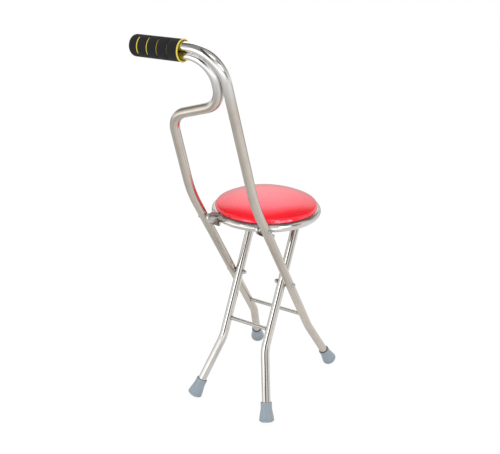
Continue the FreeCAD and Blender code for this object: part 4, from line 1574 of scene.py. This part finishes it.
@dataclass
class Studio:
    """The pale floor, the soft light and the camera."""

    centre: Vector
    camera_place: Vector = Vector((0.7996, -1.33348, 1.0851))
    camera_right: Vector = Vector((0.8555, 0.5177, 0.0111))
    camera_up: Vector = Vector((-0.2073, 0.3228, 0.9235))
    camera_back: Vector = Vector((0.4745, -0.7923, 0.3835))
    camera_clip: Pair = (0.05, 50.0)
    lens: float = 54.25
    sensor: float = 36.0
    front: float = math.radians(30.9)
    plain_level: float = 0.87

    # The walls' stops lie at degrees from the front, the others at heights from -1 to 1
    walls: Stops = (
        (-180, 1.0), (-100, 0.95), (-75, 0.8), (-35, 0.8), (-27, 0.8), (-21, 0.08), (3, 0.08), (9, 0.93),
        (35, 0.85), (48, 0.4), (66, 0.25), (80, 0.85), (110, 1.0), (180, 1.0))
    ceiling: Stops = ((-1, 1.0), (0.58, 1.0), (0.74, 0.42), (1.0, 0.4))
    ceiling_tilt: float = 0.25
    open_turn: float = 1.05
    open_edge: Pair = (-0.1, 0.2)
    open_level: float = 0.85
    behind_edge: Pair = (-0.05, -0.3)
    behind: Stops = (
        (-1, 1.0), (0.0, 0.95), (0.1, 0.75), (0.25, 0.42), (0.45, 0.3), (0.6, 0.12), (1.0, 0.10))
    window: Stops = (
        (-1, 0.54), (0.0, 0.67), (0.17, 0.95), (0.38, 1.35), (0.53, 1.73), (0.67, 2.0), (1.0, 2.15))
    window_full: float = 3.0
    window_height: float = 0.29
    window_narrowing: float = 1.69
    window_edge: Pair = (0.43, 0.29)
    window_fade: float = 2.2
    window_least: float = 0.35
    glow_level: float = 0.9
    glow_rise: Pair = (0.26, 0.08)
    glow_turn: float = 0.6
    glow_edge: Pair = (0.55, 0.8)
    floor_half: float = 6.0
    floor_matte: float = 0.92
    floor_glow: float = 1.03
    floor_across: Sweep = Sweep((0.7, 0.7), (-0.7, 0.5), (0.55, 0.95))
    floor_beyond: Sweep = Sweep((-0.51, 0.86), (0.8, 1.5), (1.0, 0.5))
    floor_front: Sweep = Sweep((-0.15, -1.0), (0.8, 2.0))
    front_level: float = 1.1
    mirrored_share: float = 0.8
    seen_share: float = 0.9

    def camera(self) -> None:
        """Makes the scene's camera at the photograph's place."""
        data = bpy.data.cameras.new("camera")
        data.lens, data.sensor_width, data.sensor_fit = self.lens, self.sensor, "HORIZONTAL"
        data.clip_start, data.clip_end = self.camera_clip
        view = bpy.data.objects.new("camera", data)
        bpy.context.scene.collection.objects.link(view)
        turn = Matrix((self.camera_right, self.camera_up, self.camera_back)).transposed()
        view.matrix_world = Matrix.Translation(self.camera_place) @ turn.normalized().to_4x4()
        bpy.context.scene.camera = view

    def room_level(self, sketch: Sketch) -> Socket:
        """How bright the room is in each direction, as polished metal shows it.

        Args:
            sketch: The world's node sketch.

        Returns:
            The level's socket.
        """
        maths, remap = sketch.maths, sketch.remap
        direction = sketch.add("ShaderNodeTexCoord").outputs["Generated"]
        way = sketch.add("ShaderNodeSeparateXYZ", direction).outputs
        azimuth = maths("ARCTAN2", way["X"], maths("MULTIPLY", way["Y"], -1.0))
        offset = maths("SUBTRACT", azimuth, self.front)
        level_way = maths("SQRT", maths("SUBTRACT", 1.0, maths("POWER", way["Z"], 2.0)))
        ahead = maths("MULTIPLY", maths("COSINE", offset), level_way)
        sideways = maths("MULTIPLY", maths("SINE", offset), level_way)
        half_height = maths("MULTIPLY_ADD", way["Z"], 0.5, 0.5)

        # The walls, the front one in the middle of their ramp, and the ceiling with its open side
        round_room = maths("FRACT", maths("MULTIPLY_ADD", offset, 0.5 / math.pi, 1.5))
        rise = maths("MULTIPLY_ADD", ahead, self.ceiling_tilt, way["Z"])
        ceiling = sketch.grey_ramp(maths("MULTIPLY_ADD", rise, 0.5, 0.5), self.ceiling)
        rightward = maths("MULTIPLY", maths("COSINE", maths("SUBTRACT", offset, self.open_turn)), level_way)
        opening = maths("MULTIPLY", remap(rightward, self.open_edge), self.open_level)
        lid = maths("MAXIMUM", ceiling, opening)
        faced = maths("MULTIPLY", sketch.grey_ramp(round_room, self.walls), lid)

        # The window behind the stool, fading to its sides, in a wall that darkens upwards
        pane = sketch.grey_ramp(half_height, self.window, self.window_full)
        wall = sketch.grey_ramp(half_height, self.behind, self.window_full)
        upward = maths("POWER", maths("SUBTRACT", way["Z"], self.window_height), 2.0)
        aside = maths("POWER", sideways, 2.0)
        away = maths("MULTIPLY_ADD", aside, self.window_narrowing, upward)
        fade = maths("MAXIMUM", maths("MULTIPLY_ADD", aside, -self.window_fade, 1.0), self.window_least)
        rear = sketch.blend(remap(away, self.window_edge), wall, maths("MULTIPLY", pane, fade))
        extra = maths("MULTIPLY_ADD", rear, self.window_full, maths("MULTIPLY", faced, -1.0))
        plain = maths("MULTIPLY_ADD", extra, remap(ahead, self.behind_edge), faced)

        # The glow just above the floor on the near side
        toward = remap(maths("COSINE", maths("ADD", offset, self.glow_turn)), self.glow_edge)
        glow = maths("MULTIPLY", remap(way["Z"], self.glow_rise), toward)
        return maths("MULTIPLY_ADD", glow, self.glow_level, plain)

    def world(self) -> None:
        """Makes a plain white room, with its darker sides and ceiling shown by polished metal alone."""
        world = bpy.data.worlds.new("studio")
        world.use_nodes = True
        bpy.context.scene.world = world
        sketch = Sketch(world.node_tree)
        path = sketch.add("ShaderNodeLightPath").outputs
        shown, plain, white = (sketch.add("ShaderNodeBackground", WHITE, level).outputs[0]
                               for level in (self.room_level(sketch), self.plain_level, 1.0))
        lit = sketch.mix_shaders(path["Is Glossy Ray"], plain, shown)
        sketch.add("ShaderNodeOutputWorld", sketch.mix_shaders(path["Is Camera Ray"], lit, white))

    def floor(self) -> None:
        """Lays a white floor that keeps the stool's faint shadow."""
        corners = [Vector((x, y, 0.0)) * self.floor_half for x, y in ((-1, -1), (1, -1), (1, 1), (-1, 1))]
        ground = link_mesh("studio_floor", corners, [(0, 1, 2, 3)])
        material = bpy.data.materials.new("studio_white")
        material.use_nodes = True
        sketch = Sketch(material.node_tree)
        path = sketch.add("ShaderNodeLightPath").outputs
        matte = sketch.add("ShaderNodeBsdfDiffuse", (*(self.floor_matte,) * 3, 1.0)).outputs[0]
        glow = sketch.add("ShaderNodeEmission", WHITE, self.floor_glow).outputs[0]
        lit = sketch.maths("MULTIPLY", self.floor_across.level(sketch), self.floor_beyond.level(sketch))
        level = sketch.maths("MULTIPLY_ADD", self.floor_front.level(sketch), self.front_level, lit)
        shown = sketch.add("ShaderNodeEmission", WHITE, level).outputs[0]
        mirrored = sketch.maths("MULTIPLY", path["Is Glossy Ray"], self.mirrored_share)
        seen = sketch.maths("MULTIPLY", path["Is Camera Ray"], self.seen_share)
        whole = sketch.mix_shaders(seen, sketch.mix_shaders(mirrored, matte, shown), glow)
        sketch.add("ShaderNodeOutputMaterial", whole)
        ground.data.materials.append(material)
        ground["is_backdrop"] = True

    def build(self, cushion: bpy.types.Object) -> None:
        """Sets up the whole studio.

        Args:
            cushion: The glossy cushion, whose rim gets two glints of its own.
        """
        self.camera()
        self.world()
        self.floor()
        for lamp in LAMPS:
            lamp.build(self.centre, cushion)
        bpy.context.scene.view_settings.view_transform = "Standard"


def main() -> None:
    """Builds the stool over its frame and the studio round it."""
    logging.basicConfig(level=logging.INFO, format="%(name)s: %(message)s")
    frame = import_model()
    plan = SidePlan.from_frame(frame)
    wardrobe = Wardrobe()
    wardrobe.dress_frame(frame)
    LongFrame(plan, wardrobe).build()
    ShortFrame(plan, wardrobe).build()
    cushion = PaddedSeat(wardrobe).build()
    low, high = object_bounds()
    Studio((low + high) / 2).build(cushion)
    log.info("the stool is built")


if __name__ == "__main__":
    main()
